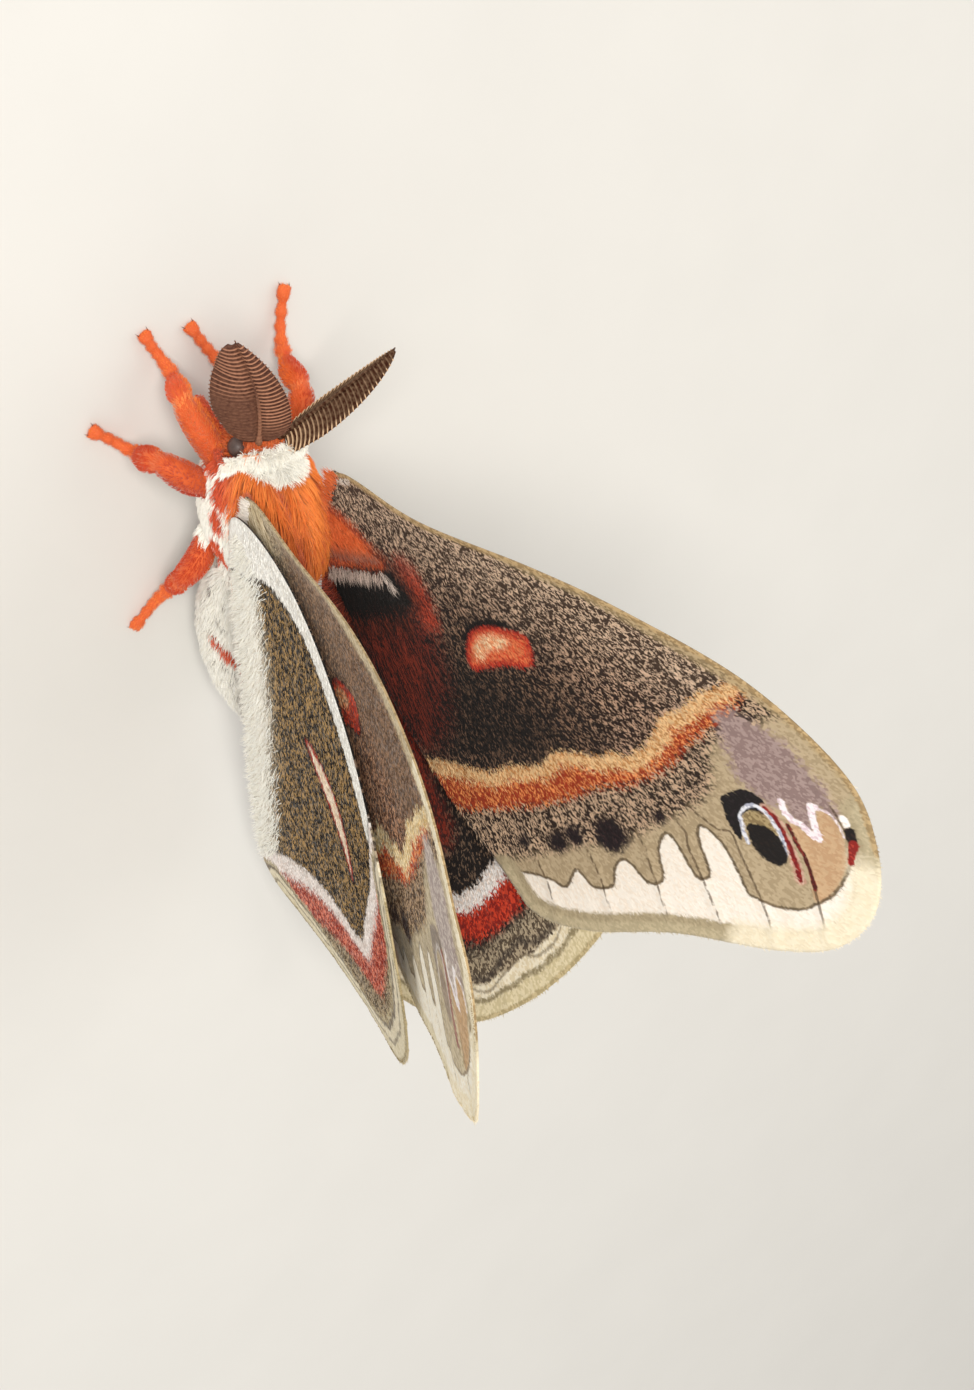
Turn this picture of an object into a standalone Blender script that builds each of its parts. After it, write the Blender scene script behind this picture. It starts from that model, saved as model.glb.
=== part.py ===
"""Cecropia silk moth, male, at rest with its wings raised: closed solids for every part of the animal.

Axes: +X is the moth's right side, +Y is forward (head), +Z is up. Sizes are in millimetres and turned
into metres when a mesh is made. The floor is Z = 0, and the origin is below the middle of the whole moth.
"""

import math

import bmesh
import bpy
import numpy as np
from mathutils import Vector

# ---------------------------------------------------------------- driving sizes, millimetres and degrees
MM = 0.001
GAP = 0.30  # clear space kept between two neighbouring solids
MIDDLE_X = 0.55  # middle of the whole moth in the body's own axes, moved to the origin
MIDDLE_Y = -18.69

# forewing and hindwing: one shared frame, u along the span, v towards the rear edge, w towards the back
WING_THICK = 0.64
WING_RIM = 0.44  # thickness left at the very edge
RIM_BEVEL = 0.30  # width of the bevel around a wing
WING_ROOT = (5.135, 3.176, 18.046)
# lean and sweep tilt the span line outwards and backwards from upright, toe turns the chord towards the
# middle plane at the rear, droop is how far the forewing falls outwards 50 mm from its root, cup is how far
# its rear edge rises towards the back 40 mm behind the root, and hind holds the hindwing's height over its
# plane as factors of 1, u, v, u*u, u*v and v*v: everywhere outside the forewing
WING_POSE = {
    "right": {
        "lean": 5.54, "sweep": 9.52, "toe_fore": 3.66, "toe_hind": 3.66, "droop": 6.40, "cup": 2.0,
        "hind": (-1.00, 0.0130, -0.0670, -0.00355, 0.00195, 0.00125),
    },
    "left": {
        "lean": 5.40, "sweep": 9.52, "toe_fore": 2.35, "toe_hind": 3.82, "droop": 5.84, "cup": 3.4,
        "hind": (-1.11, 0.0160, -0.0450, -0.00359, 0.00225, 0.00080),
    },
}
RIM_POINTS = 44
WING_RINGS = (0.82, 0.56, 0.28)

FORE_PLAN = (  # u, v: leading edge out to the tip, then the outer edge and the rear edge back to the root
    (0.0, -0.6), (13.8, -1.5), (28.3, -4.6), (40.0, -5.9), (53.0, -5.4), (63.9, -1.0), (68.8, 5.4),
    (70.5, 12.0), (68.6, 17.7), (63.5, 21.5), (54.0, 25.8), (45.4, 31.6), (39.0, 33.6), (34.5, 31.3),
    (22.8, 25.6), (9.0, 16.5), (0.3, 9.0),
)
FORE_HEART = (38.0, 12.0)
HIND_PLAN = (
    (0.5, 2.2), (13.0, 0.8), (26.0, 2.8), (37.0, 6.8), (44.4, 15.0), (46.6, 25.5), (44.9, 36.0),
    (40.3, 47.0), (33.2, 55.4), (22.0, 59.0), (9.0, 59.9), (0.5, 57.6), (-0.2, 44.0), (0.2, 30.0),
    (-0.8, 16.0), (-1.5, 8.0),
)
HIND_HEART = (21.0, 30.0)

# body: stations along Y as (y, centre z, half width, height above centre, depth below centre)
THORAX = (
    (6.3, 14.6, 2.6, 1.5, 2.2),
    (5.8, 14.2, 4.0, 3.0, 3.8),
    (4.4, 13.0, 5.5, 5.8, 6.2),
    (2.2, 12.0, 6.2, 8.2, 8.0),
    (-0.6, 11.9, 6.6, 9.7, 9.0),
    (-3.6, 11.9, 6.6, 10.4, 9.3),
    (-6.4, 12.0, 6.2, 10.2, 8.4),
    (-8.8, 12.2, 5.2, 8.4, 6.8),
    (-10.4, 12.4, 3.4, 5.4, 4.2),
    (-11.0, 12.4, 1.4, 2.4, 1.8),
)
THORAX_POWERS = (1.72, 2.35)  # above and below: under 2 is narrower than an ellipse, over 2 is fuller
ROUND = (2.0, 2.0)
ABDOMEN = (
    (-8.0, 10.2, 4.6, 4.6, 4.6),
    (-10.5, 9.4, 5.5, 5.3, 5.6),
    (-14.0, 7.6, 5.9, 5.6, 6.0),
    (-18.0, 6.1, 6.0, 5.9, 6.15),
    (-22.0, 5.9, 5.9, 5.9, 5.95),
    (-25.8, 6.2, 5.2, 5.3, 5.3),
    (-29.2, 6.7, 4.0, 4.1, 4.1),
    (-31.8, 7.3, 2.4, 2.5, 2.5),
    (-33.0, 7.6, 0.9, 1.0, 1.0),
)
SEGMENT_LENGTH = 3.6
SEGMENT_DEPTH = 0.012  # share of the radius by which each ring of the abdomen is drawn in at its joint
HEAD_CENTRE = (0.0, 5.0, 11.8)
HEAD_RADII = (3.2, 3.5, 3.6)
EYE_CENTRE = (2.65, 5.9, 12.2)
EYE_RADIUS = 1.50

# feelers: a flat leaf on a shaft, base and tip in body axes, with the leaf turned to face up
FEELER_BASE = (1.3, 6.7, 14.7)
FEELERS = {  # tip, and the way that the leaf's hollow side faces
    "left": ((-5.9, 20.9, 19.9), (-0.59, -0.45, 0.64)),
    "right": ((10.8, 17.0, 22.5), (0.56, -0.62, 0.50)),
}
LEAF_HALF_WIDTH = 3.5
LEAF_FOLD = 10.0  # degrees by which each half of the leaf is raised
LEAF_WIDEST = 0.38  # share of the length at which the leaf is widest
LEAF_REACH = 1.02  # share of the length at which its edges would meet
LEAF_THICK = 0.56
SHAFT_THICK = 0.90
FEELER_RINGS = 13
FEELER_RISE = 0.6  # bow of the shaft between base and tip

# legs: joints in body axes with the radius there, from the hip to the toe
FORE_LEFT = (
    (-2.6, 1.6, 8.3, 1.5), (-4.3, 5.6, 8.2, 1.65), (-5.7, 9.2, 7.0, 1.5), (-5.1, 10.2, 4.4, 1.25),
    (-4.6, 10.5, 2.6, 0.95), (-5.0, 11.8, 1.35, 0.68), (-5.7, 13.2, 0.80, 0.62), (-6.3, 14.5, 0.54, 0.70),
)
FORE_RIGHT = (
    (2.2, 1.8, 8.0, 1.4), (2.9, 5.6, 7.0, 1.5), (3.7, 9.0, 6.4, 1.4), (3.0, 9.8, 4.3, 1.2),
    (1.9, 9.6, 2.7, 0.95), (1.0, 10.9, 1.45, 0.68), (0.1, 12.5, 0.80, 0.62), (-0.9, 14.2, 0.54, 0.70),
)
MID_LEFT = (
    (-3.6, -0.8, 7.6, 1.5), (-6.8, 1.6, 8.9, 1.7), (-9.6, 4.0, 8.3, 1.5), (-9.9, 3.4, 5.2, 1.4),
    (-9.3, 2.6, 2.9, 1.0), (-10.4, 3.2, 1.35, 0.68), (-11.6, 4.2, 0.80, 0.62), (-13.2, 5.4, 0.54, 0.70),
)
MID_RIGHT = (
    (3.8, 0.2, 8.2, 1.5), (6.6, 4.4, 9.0, 1.6), (8.0, 7.5, 7.6, 1.5), (8.3, 8.7, 5.0, 1.35),
    (8.8, 9.6, 2.9, 1.0), (9.3, 11.0, 1.45, 0.68), (9.8, 13.2, 0.80, 0.62), (10.5, 15.9, 0.54, 0.70),
)
HIND_LEFT = (
    (-3.8, -5.6, 7.4, 1.4), (-5.8, -9.4, 7.2, 1.55), (-7.4, -12.0, 5.8, 1.4), (-7.2, -13.6, 3.8, 1.2),
    (-7.2, -14.8, 2.4, 0.92), (-8.3, -16.3, 1.3, 0.68), (-9.4, -17.6, 0.8, 0.62), (-10.9, -19.2, 0.54, 0.7),
)
HIND_RIGHT = tuple((-x, y, z, r) for x, y, z, r in HIND_LEFT)
# second long joint of a front leg, folded against the first
HIP_LOBE_LEFT = ((-1.9, 3.4, 8.3, 1.05), (-2.9, 6.6, 7.6, 1.05), (-4.0, 9.4, 6.6, 1.05))
HIP_LOBE_RIGHT = ((1.14, 3.4, 7.5, 1.05), (1.74, 6.6, 6.8, 1.05), (2.4, 9.4, 5.8, 1.05))

# fineness of the faceted solids: points around, and pieces between two stations
LEG_SIDES = 8
LEG_STEPS = 2
THORAX_SIDES = 24
THORAX_STEPS = 2
ABDOMEN_SIDES = 20
ABDOMEN_STEPS = 3
HEAD_SIDES = 20
HEAD_RINGS = 12
EYE_SIDES = 16
EYE_RINGS = 10
OUTLINE_STEPS = 12

COLOURS = {
    "orange_fur": (0.72, 0.13, 0.02),
    "white_fur": (0.80, 0.77, 0.70),
    "wing_scales": (0.13, 0.10, 0.08),
    "feeler_brown": (0.20, 0.12, 0.08),
    "eye_dark": (0.03, 0.02, 0.02),
}

for old in list(bpy.data.objects):
    bpy.data.objects.remove(old)


# ---------------------------------------------------------------- helpers
def material(name, label):
    """A Principled material of its own for one part."""
    made = bpy.data.materials.new(name + "_" + label)
    made.use_nodes = True
    shader = made.node_tree.nodes["Principled BSDF"]
    shader.inputs["Base Color"].default_value = (*COLOURS[label], 1.0)
    shader.inputs["Roughness"].default_value = 0.35 if label == "eye_dark" else 0.8
    return made


def smooth_path(points, steps, closed=False):
    """Catmull-Rom curve through the points, with `steps` pieces between each two."""
    pts = np.asarray(points, float)
    count = len(pts)
    spans = count if closed else count - 1
    out = []
    for i in range(spans):
        if closed:
            a, b, c, d = (pts[(i + k) % count] for k in (-1, 0, 1, 2))
        else:
            a, b, c, d = pts[max(i - 1, 0)], pts[i], pts[i + 1], pts[min(i + 2, count - 1)]
        for step in range(steps):
            t = step / steps
            bend = (2 * a - 5 * b + 4 * c - d) * t**2 + (3 * b - a - 3 * c + d) * t**3
            out.append(0.5 * (2 * b + (c - a) * t + bend))
    if not closed:
        out.append(pts[-1])
    return np.array(out)


def even_outline(plan, count):
    """The closed smooth outline through the plan's points as `count` evenly spaced points."""
    fine = smooth_path(plan, OUTLINE_STEPS, closed=True)
    ring = np.vstack([fine, fine[:1]])
    along = np.concatenate([[0.0], np.cumsum(np.linalg.norm(np.diff(ring, axis=0), axis=1))])
    at = np.linspace(0.0, along[-1], count, endpoint=False)
    return np.stack([np.interp(at, along, ring[:, 0]), np.interp(at, along, ring[:, 1])], axis=1)


def add_object(name, vertices, faces, label, smooth=True):
    """One mesh object from millimetre vertices in body axes, its faces turned outwards."""
    shift = np.array([MIDDLE_X, MIDDLE_Y, 0.0])
    mesh = bpy.data.meshes.new(name)
    mesh.from_pydata([tuple((np.asarray(v) - shift) * MM) for v in vertices], [], faces)
    bm = bmesh.new()
    bm.from_mesh(mesh)
    bmesh.ops.recalc_face_normals(bm, faces=bm.faces)
    bm.to_mesh(mesh)
    bm.free()
    if smooth:
        mesh.shade_smooth()
    obj = bpy.data.objects.new(name, mesh)
    bpy.context.collection.objects.link(obj)
    if label:
        mesh.materials.append(material(name, label))
    return obj


def ring_solid(name, rings, label):
    """A closed solid from rings of equal length, with a pole in the middle of each end."""
    sides = len(rings[0])
    vertices = [v for ring in rings for v in ring]
    faces = []
    for r in range(len(rings) - 1):
        for s in range(sides):
            t = (s + 1) % sides
            faces.append((r * sides + s, r * sides + t, (r + 1) * sides + t, (r + 1) * sides + s))
    for ring, first in ((rings[0], 0), (rings[-1], (len(rings) - 1) * sides)):
        pole = len(vertices)
        vertices.append(np.mean(ring, axis=0))
        faces += [(first + s, first + (s + 1) % sides, pole) for s in range(sides)]
    return add_object(name, vertices, faces, label)


def body_ring(station, sides, grow, powers):
    """One cross-section of the body: a half superellipse above its centre and another below."""
    y, zc, wide, up, down = station
    ring = []
    for s in range(sides):
        angle = 2 * math.pi * s / sides
        c, d = math.cos(angle), math.sin(angle)
        power = 2.0 / powers[0 if d > 0 else 1]
        x = (wide + grow) * math.copysign(abs(c) ** power, c)
        z = ((up if d > 0 else down) + grow) * math.copysign(abs(d) ** power, d)
        ring.append(np.array([x, y, zc + z]))
    return ring


def body_solid(name, label, stations, steps, sides, grow=0.0, powers=ROUND, ringed=False):
    """The thorax or the abdomen, lofted along its stations; `grow` makes the clearance copy."""
    path = smooth_path(stations, steps)
    path[0, 0] += grow
    path[-1, 0] -= grow
    if ringed:
        dip = 1.0 - SEGMENT_DEPTH * (1.0 + np.cos(2 * math.pi * path[:, 0] / SEGMENT_LENGTH))
        path[:, 2:] *= dip[:, None]
    return ring_solid(name, [body_ring(p, sides, grow, powers) for p in path], label)


def ball(name, label, centre, radii, grid):
    """A closed ellipsoid; `grid` is its points around and its bands from pole to pole."""
    around, bands = grid
    rings = []
    for k in range(1, bands):
        polar = math.pi * k / bands
        rings.append([
            np.array(centre) + np.array(radii) * (
                math.sin(polar) * math.cos(2 * math.pi * s / around),
                math.sin(polar) * math.sin(2 * math.pi * s / around),
                math.cos(polar),
            )
            for s in range(around)
        ])
    return ring_solid(name, rings, label)


def cutter(obj):
    """Marks a helper solid that only shapes others."""
    obj.hide_render = True
    obj.display_type = "WIRE"
    return obj


def cut(obj, tool, operation="DIFFERENCE"):
    """Adds an exact Boolean with a helper solid."""
    step = obj.modifiers.new(operation.lower() + "_" + tool.name, "BOOLEAN")
    step.operation = operation
    step.solver = "EXACT"
    step.object = tool


# ---------------------------------------------------------------- wings
def wing_axes(lean, sweep, toe):
    """Span, rearward chord and dorsal normal of a right wing as unit vectors, from angles in degrees."""
    lean, sweep, toe = (math.radians(a) for a in (lean, sweep, toe))
    span = Vector((math.tan(lean) / math.cos(sweep), -math.tan(sweep), 1.0)).normalized()
    chord = Vector((0.0, -1.0, 0.0))
    chord = (chord - span * chord.dot(span)).normalized()
    inward = span.cross(chord)
    chord = (chord * math.cos(toe) - inward * math.sin(toe)).normalized()
    normal = -span.cross(chord).normalized()
    return np.array(span), np.array(chord), np.array(normal)


def fore_height(pose, u, v):
    """Dorsal height of the forewing's middle surface."""
    return -pose["droop"] * (u / 50.0) ** 2 + pose["cup"] * (max(v, 0.0) / 40.0) ** 2


def hind_height(pose, u, v):
    """Dorsal height of the hindwing's middle surface."""
    return sum(f * term for f, term in zip(pose["hind"], (1.0, u, v, u * u, u * v, v * v)))


def wing(name, plan, heart, height, side, pose, toe):
    """One wing as a thin curved sheet with a bevelled rim; `side` is 1 on the right and -1 on the left."""
    span, chord, normal = wing_axes(pose["lean"], pose["sweep"], pose[toe])
    heart = np.array(heart)
    rim = even_outline(plan, RIM_POINTS)
    inset = rim + (heart - rim) * (RIM_BEVEL / np.linalg.norm(heart - rim, axis=1))[:, None]
    layers = [(rim, WING_RIM / 2), (inset, WING_THICK / 2)]
    layers += [(heart + (rim - heart) * share, WING_THICK / 2) for share in WING_RINGS]

    def place(uv, lift):
        u, v = uv
        at = np.array(WING_ROOT) + span * u + chord * v + normal * (height(pose, u, v) + lift)
        return at * np.array([side, 1.0, 1.0])

    vertices, faces, starts = [], [], {}
    for face_sign in (1, -1):
        for k, (ring, half) in enumerate(layers):
            starts[face_sign, k] = len(vertices)
            vertices += [place(uv, face_sign * half) for uv in ring]
        starts[face_sign, "heart"] = len(vertices)
        vertices.append(place(heart, face_sign * WING_THICK / 2))
    count = RIM_POINTS
    for face_sign in (1, -1):
        for k in range(len(layers) - 1):
            a, b = starts[face_sign, k], starts[face_sign, k + 1]
            faces += [(a + s, a + (s + 1) % count, b + (s + 1) % count, b + s) for s in range(count)]
        last = starts[face_sign, len(layers) - 1]
        faces += [(last + s, last + (s + 1) % count, starts[face_sign, "heart"]) for s in range(count)]
    a, b = starts[1, 0], starts[-1, 0]
    faces += [(a + s, a + (s + 1) % count, b + (s + 1) % count, b + s) for s in range(count)]
    return add_object(name, vertices, faces, "wing_scales")


# ---------------------------------------------------------------- feelers and legs
def leaf_width(t):
    """Share of the full leaf width at a share of the shaft's length."""
    if t < LEAF_WIDEST:
        grown = t / LEAF_WIDEST
        return grown * grown * (3.0 - 2.0 * grown)
    return math.sqrt(max(0.0, 1.0 - ((t - LEAF_WIDEST) / (LEAF_REACH - LEAF_WIDEST)) ** 2))


def feeler(name, side, tip, facing):
    """A comb feeler's outer shape: a shaft with a leaf that widens fast and narrows to the tip."""
    base = np.array(FEELER_BASE) * np.array([side, 1.0, 1.0])
    run = np.array(tip) - base
    along = run / np.linalg.norm(run)
    facing = np.array(facing) - along * along.dot(facing)
    facing /= np.linalg.norm(facing)
    across = np.cross(along, facing)
    rings = []
    for k in range(FEELER_RINGS):
        t = k / (FEELER_RINGS - 1)
        centre = base + run * t + facing * FEELER_RISE * math.sin(math.pi * t)
        half = SHAFT_THICK / 2 + (LEAF_HALF_WIDTH - SHAFT_THICK / 2) * leaf_width(t)
        edge, core = facing * LEAF_THICK / 2, facing * SHAFT_THICK / 2
        raised = facing * half * math.sin(math.radians(LEAF_FOLD))
        one, other = centre + across * half + raised, centre - across * half + raised
        rings.append([one + edge, centre + core, other + edge, other - edge, centre - core, one - edge])
    return ring_solid(name, rings, "feeler_brown")


def tube(name, joints, steps, label):
    """A round limb through its joints, each with its own radius."""
    path = smooth_path(joints, steps)
    centres, radii = path[:, :3], path[:, 3]
    rings = []
    side_hint = np.array([1.0, 0.0, 0.0])
    for i, centre in enumerate(centres):
        ahead = centres[min(i + 1, len(centres) - 1)] - centres[max(i - 1, 0)]
        ahead /= np.linalg.norm(ahead)
        side_hint = side_hint - ahead * side_hint.dot(ahead)
        side_hint /= np.linalg.norm(side_hint)
        up = np.cross(ahead, side_hint)
        rings.append([
            centre + radii[i] * (side_hint * math.cos(2 * math.pi * s / LEG_SIDES)
                                 + up * math.sin(2 * math.pi * s / LEG_SIDES))
            for s in range(LEG_SIDES)
        ])
    return ring_solid(name, rings, label)


def leg(name, joints, clearances, floor_box, lobe=None):
    """One leg: tube, optional second long joint, cut clear of the body and flat under the toe."""
    limb = tube(name, joints, LEG_STEPS, "orange_fur")
    if lobe is not None:
        extra = cutter(tube(name + "_lobe", lobe, LEG_STEPS, None))
        cut(limb, extra, "UNION")
    for shape in clearances:
        cut(limb, shape)
    cut(limb, floor_box)
    return limb


def box(name, low, high):
    """A plain block between two corners."""
    corners = [(x, y, z) for x in (low[0], high[0]) for y in (low[1], high[1]) for z in (low[2], high[2])]
    faces = [(0, 1, 3, 2), (4, 6, 7, 5), (0, 4, 5, 1), (2, 3, 7, 6), (0, 2, 6, 4), (1, 5, 7, 3)]
    return cutter(add_object(name, corners, faces, None, smooth=False))


# ---------------------------------------------------------------- the moth
floor_box = box("below_floor", (-40.0, -80.0, -10.0), (40.0, 40.0, 0.0))

thorax_form = {"stations": THORAX, "steps": THORAX_STEPS, "sides": THORAX_SIDES, "powers": THORAX_POWERS}
thorax = body_solid("thorax", "orange_fur", **thorax_form)
thorax_clear = cutter(body_solid("thorax_clearance", None, grow=GAP, **thorax_form))
abdomen_form = {"stations": ABDOMEN, "steps": ABDOMEN_STEPS, "sides": ABDOMEN_SIDES, "ringed": True}
abdomen = body_solid("abdomen", "white_fur", **abdomen_form)
abdomen_clear = cutter(body_solid("abdomen_clearance", None, grow=GAP, **abdomen_form))
cut(abdomen, thorax_clear)
cut(abdomen, floor_box)

head_grid, eye_grid = (HEAD_SIDES, HEAD_RINGS), (EYE_SIDES, EYE_RINGS)
head = ball("head", "orange_fur", HEAD_CENTRE, HEAD_RADII, head_grid)
head_clear = cutter(ball("head_clearance", None, HEAD_CENTRE, [r + GAP for r in HEAD_RADII], head_grid))
cut(thorax, head_clear)
for side, word in ((-1, "left"), (1, "right")):
    centre = (EYE_CENTRE[0] * side, EYE_CENTRE[1], EYE_CENTRE[2])
    ball("eye_" + word, "eye_dark", centre, (EYE_RADIUS,) * 3, eye_grid)
    socket = cutter(ball("socket_" + word, None, centre, (EYE_RADIUS + GAP,) * 3, eye_grid))
    cut(head, socket)
    cut(thorax, socket)
    antenna = feeler("antenna_" + word, side, *FEELERS[word])
    cut(antenna, head_clear)
    cut(antenna, thorax_clear)
    pose = WING_POSE[word]
    forewing = wing("forewing_" + word, FORE_PLAN, FORE_HEART, fore_height, side, pose, "toe_fore")
    hindwing = wing("hindwing_" + word, HIND_PLAN, HIND_HEART, hind_height, side, pose, "toe_hind")
    for sheet in (forewing, hindwing):
        cut(sheet, thorax_clear)
        cut(sheet, abdomen_clear)

body_parts = (thorax_clear, abdomen_clear)
leg("leg_fore_left", FORE_LEFT, (*body_parts, head_clear), floor_box, HIP_LOBE_LEFT)
leg("leg_fore_right", FORE_RIGHT, (*body_parts, head_clear), floor_box, HIP_LOBE_RIGHT)
leg("leg_mid_left", MID_LEFT, body_parts, floor_box)
leg("leg_mid_right", MID_RIGHT, body_parts, floor_box)
leg("leg_hind_left", HIND_LEFT, body_parts, floor_box)
leg("leg_hind_right", HIND_RIGHT, body_parts, floor_box)
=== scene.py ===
"""A resting cecropia moth at life size: one furred skin, four scaled wings, comb feelers, eyes and claws.

Every shape is worked out in body millimetres (x to the moth's right, y forward, z up from the floor) and is
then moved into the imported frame, so each piece lies in the solid that it stands for.
"""
import logging
import math
from collections.abc import Callable
from dataclasses import dataclass, fields
from enum import Enum
from functools import partial

import bmesh
import bpy
import numpy as np
from mathutils import Matrix, Vector, geometry
from mathutils.kdtree import KDTree


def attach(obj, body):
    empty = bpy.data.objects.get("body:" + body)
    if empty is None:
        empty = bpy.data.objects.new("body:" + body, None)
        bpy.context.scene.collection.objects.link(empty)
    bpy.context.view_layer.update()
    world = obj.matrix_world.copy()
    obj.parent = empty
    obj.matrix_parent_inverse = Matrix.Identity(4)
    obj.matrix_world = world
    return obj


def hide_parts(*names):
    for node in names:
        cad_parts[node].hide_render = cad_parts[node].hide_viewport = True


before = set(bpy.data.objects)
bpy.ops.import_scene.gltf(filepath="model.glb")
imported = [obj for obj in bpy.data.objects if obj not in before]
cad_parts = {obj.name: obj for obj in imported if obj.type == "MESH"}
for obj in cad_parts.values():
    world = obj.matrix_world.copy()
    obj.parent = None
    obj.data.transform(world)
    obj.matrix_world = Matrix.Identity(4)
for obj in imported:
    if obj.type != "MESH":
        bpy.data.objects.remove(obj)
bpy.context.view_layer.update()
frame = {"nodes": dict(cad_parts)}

LOG = logging.getLogger("moth")
Array = np.ndarray
Piece = bpy.types.Object
Material = bpy.types.Material
Socket = bpy.types.NodeSocket
Chance = np.random.Generator
Fields = dict[str, Array]  # a value, or one for each axis, at every point
Line = tuple[tuple[float, ...], ...]
Span = tuple[float, float]
Spot = tuple[float, float, float]
MM = 0.001
MIDDLE = np.array((0.55, -18.69, 0.0))  # the frame's origin in body millimetres
ROOT_BODY = "root"
PIECE_TUFTS = 12000  # most tufts in one coat piece, which keeps it under 200,000 triangles
PATCH = 0.003  # side of the patch that one tuft has in the unwrap


class Side(Enum):
    """Which side of the moth a piece belongs to."""

    LEFT = -1
    RIGHT = 1


class Face(Enum):
    """The two faces of a wing."""

    UPPER = 1
    UNDER = -1


class Grain(Enum):
    """Where a wing paint finds its single scales: drawn as cells on the sheet, or modelled one by one."""

    CELLS = "cells"
    SCALES = "scales"


# ---------------------------------------------------------------- lines and rings
def placed(points: Array) -> Array:
    """Turns body millimetres into the frame's metres."""
    return (np.asarray(points, float) - MIDDLE) * MM


def unit(vectors: Array) -> Array:
    """Scales each row to length one."""
    vectors = np.asarray(vectors, float)
    return vectors / np.maximum(np.linalg.norm(vectors, axis=-1, keepdims=True), 1e-9)


def ramp(value: Array, low: float, high: float) -> Array:
    """A smooth step from 0 at low to 1 at high."""
    t = np.clip((value - low) / (high - low), 0.0, 1.0)
    return t * t * (3.0 - 2.0 * t)


def smooth_line(points: Line | Array, steps: int, closed: bool = False) -> Array:
    """Runs a smooth curve through points.

    Args:
        points: the points, with any number of columns.
        steps: how many pieces each stretch is cut into.
        closed: whether the last point joins the first.

    Returns:
        The finer points.
    """
    points = np.asarray(points, float)
    count = len(points)
    pick = (lambda k: k % count) if closed else (lambda k: min(max(k, 0), count - 1))
    made = []
    for i in range(count if closed else count - 1):
        a, b, c, d = (points[pick(i + k)] for k in (-1, 0, 1, 2))
        for s in range(steps):
            t = s / steps
            made.append(0.5 * (2 * b + (c - a) * t + (2 * a - 5 * b + 4 * c - d) * t * t
                               + (3 * b - a - 3 * c + d) * t ** 3))
    if not closed:
        made.append(points[-1])
    return np.array(made)


def evenly(points: Array, spacing: float, closed: bool = False) -> Array:
    """Places points at an even spacing along a line.

    Args:
        points: the line.
        spacing: the distance between the new points.
        closed: whether the line's last point joins its first.

    Returns:
        The new points.
    """
    path = np.vstack([points, points[:1]]) if closed else points
    reach = np.concatenate([[0.0], np.cumsum(np.linalg.norm(np.diff(path, axis=0), axis=1))])
    count = max(2, int(round(reach[-1] / spacing)))
    at = np.linspace(0.0, reach[-1], count + 1)
    made = np.column_stack([np.interp(at, reach, path[:, k]) for k in range(path.shape[1])])
    return made[:-1] if closed else made


def line_distance(at: Array, line: Line | Array, closed: bool = False) -> Array:
    """Measures the distance from points to a line.

    Args:
        at: the points.
        line: the line, in the points' own units.
        closed: whether the line's last point joins its first.

    Returns:
        Each point's distance.
    """
    line = np.asarray(line, float)
    ends = np.roll(line, -1, axis=0) if closed else line[1:]
    best = np.full(len(at), 1e9)
    for a, b in zip(line, ends):
        step = b - a
        share = np.clip((at - a) @ step / max(float(step @ step), 1e-12), 0.0, 1.0)
        best = np.minimum(best, np.linalg.norm(at - a - share[:, None] * step, axis=1))
    return best


def inside(at: Array, ring: Array) -> Array:
    """Tells which points lie inside a closed ring.

    Args:
        at: the points.
        ring: the ring's corners.

    Returns:
        True or False for each point.
    """
    found = np.zeros(len(at), bool)
    for a, b in zip(ring, np.roll(ring, -1, axis=0)):
        spans = (a[1] > at[:, 1]) != (b[1] > at[:, 1])
        cross = (b[0] - a[0]) * (at[:, 1] - a[1]) / (b[1] - a[1] if b[1] != a[1] else 1e-9) + a[0]
        found ^= spans & (at[:, 0] < cross)
    return found


def region(at: Array, ring: Line | Array, steps: int = 1) -> Array:
    """Measures how deep points lie inside a closed ring.

    Args:
        at: the points.
        ring: the ring's corners.
        steps: how finely the ring is rounded; 1 keeps its corners.

    Returns:
        Signed distances: positive inside.
    """
    ring = smooth_line(ring, steps, closed=True) if steps > 1 else np.asarray(ring, float)
    away = line_distance(at, ring, closed=True)
    return np.where(inside(at, ring), away, -away)


def beyond(at: Array, line: Line, closure: Line, steps: int = 4) -> Array:
    """Signed distance to a line across a wing: positive on the side that the closure goes round."""
    return region(at, np.vstack([smooth_line(line, steps), np.asarray(closure, float)]))


def tube_quads(rings: int, sides: int) -> list[tuple[int, ...]]:
    """Four-sided faces between the rings of a tube whose points are counted ring by ring."""
    return [(i * sides + j, i * sides + (j + 1) % sides, (i + 1) * sides + (j + 1) % sides, (i + 1) * sides + j)
            for i in range(rings - 1) for j in range(sides)]


def triangles(quads: list[tuple[int, ...]]) -> list[tuple[int, ...]]:
    """Cuts four-sided faces in two."""
    return [(a, b, c) for a, b, c, _ in quads] + [(a, c, d) for a, _, c, d in quads]


# ---------------------------------------------------------------- materials
def linear(code: str) -> tuple[float, float, float, float]:
    """Turns an sRGB hex colour into linear RGBA."""
    parts = [int(code[i:i + 2], 16) / 255.0 for i in (1, 3, 5)]
    return (*(c / 12.92 if c <= 0.04045 else ((c + 0.055) / 1.055) ** 2.4 for c in parts), 1.0)


def fit(made: bpy.types.Node, settings: dict, links: dict) -> None:
    """Sets up a node that stands in a tree.

    Args:
        made: the node.
        settings: its properties (lower case) and input values (upper case or number).
        links: output sockets for its inputs, by input name or number.
    """
    for key, value in settings.items():
        if isinstance(key, int) or key[0].isupper():
            made.inputs[key].default_value = value
        else:
            setattr(made, key, value)
    for key, socket in links.items():
        made.id_data.links.new(socket, made.inputs[key])


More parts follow.
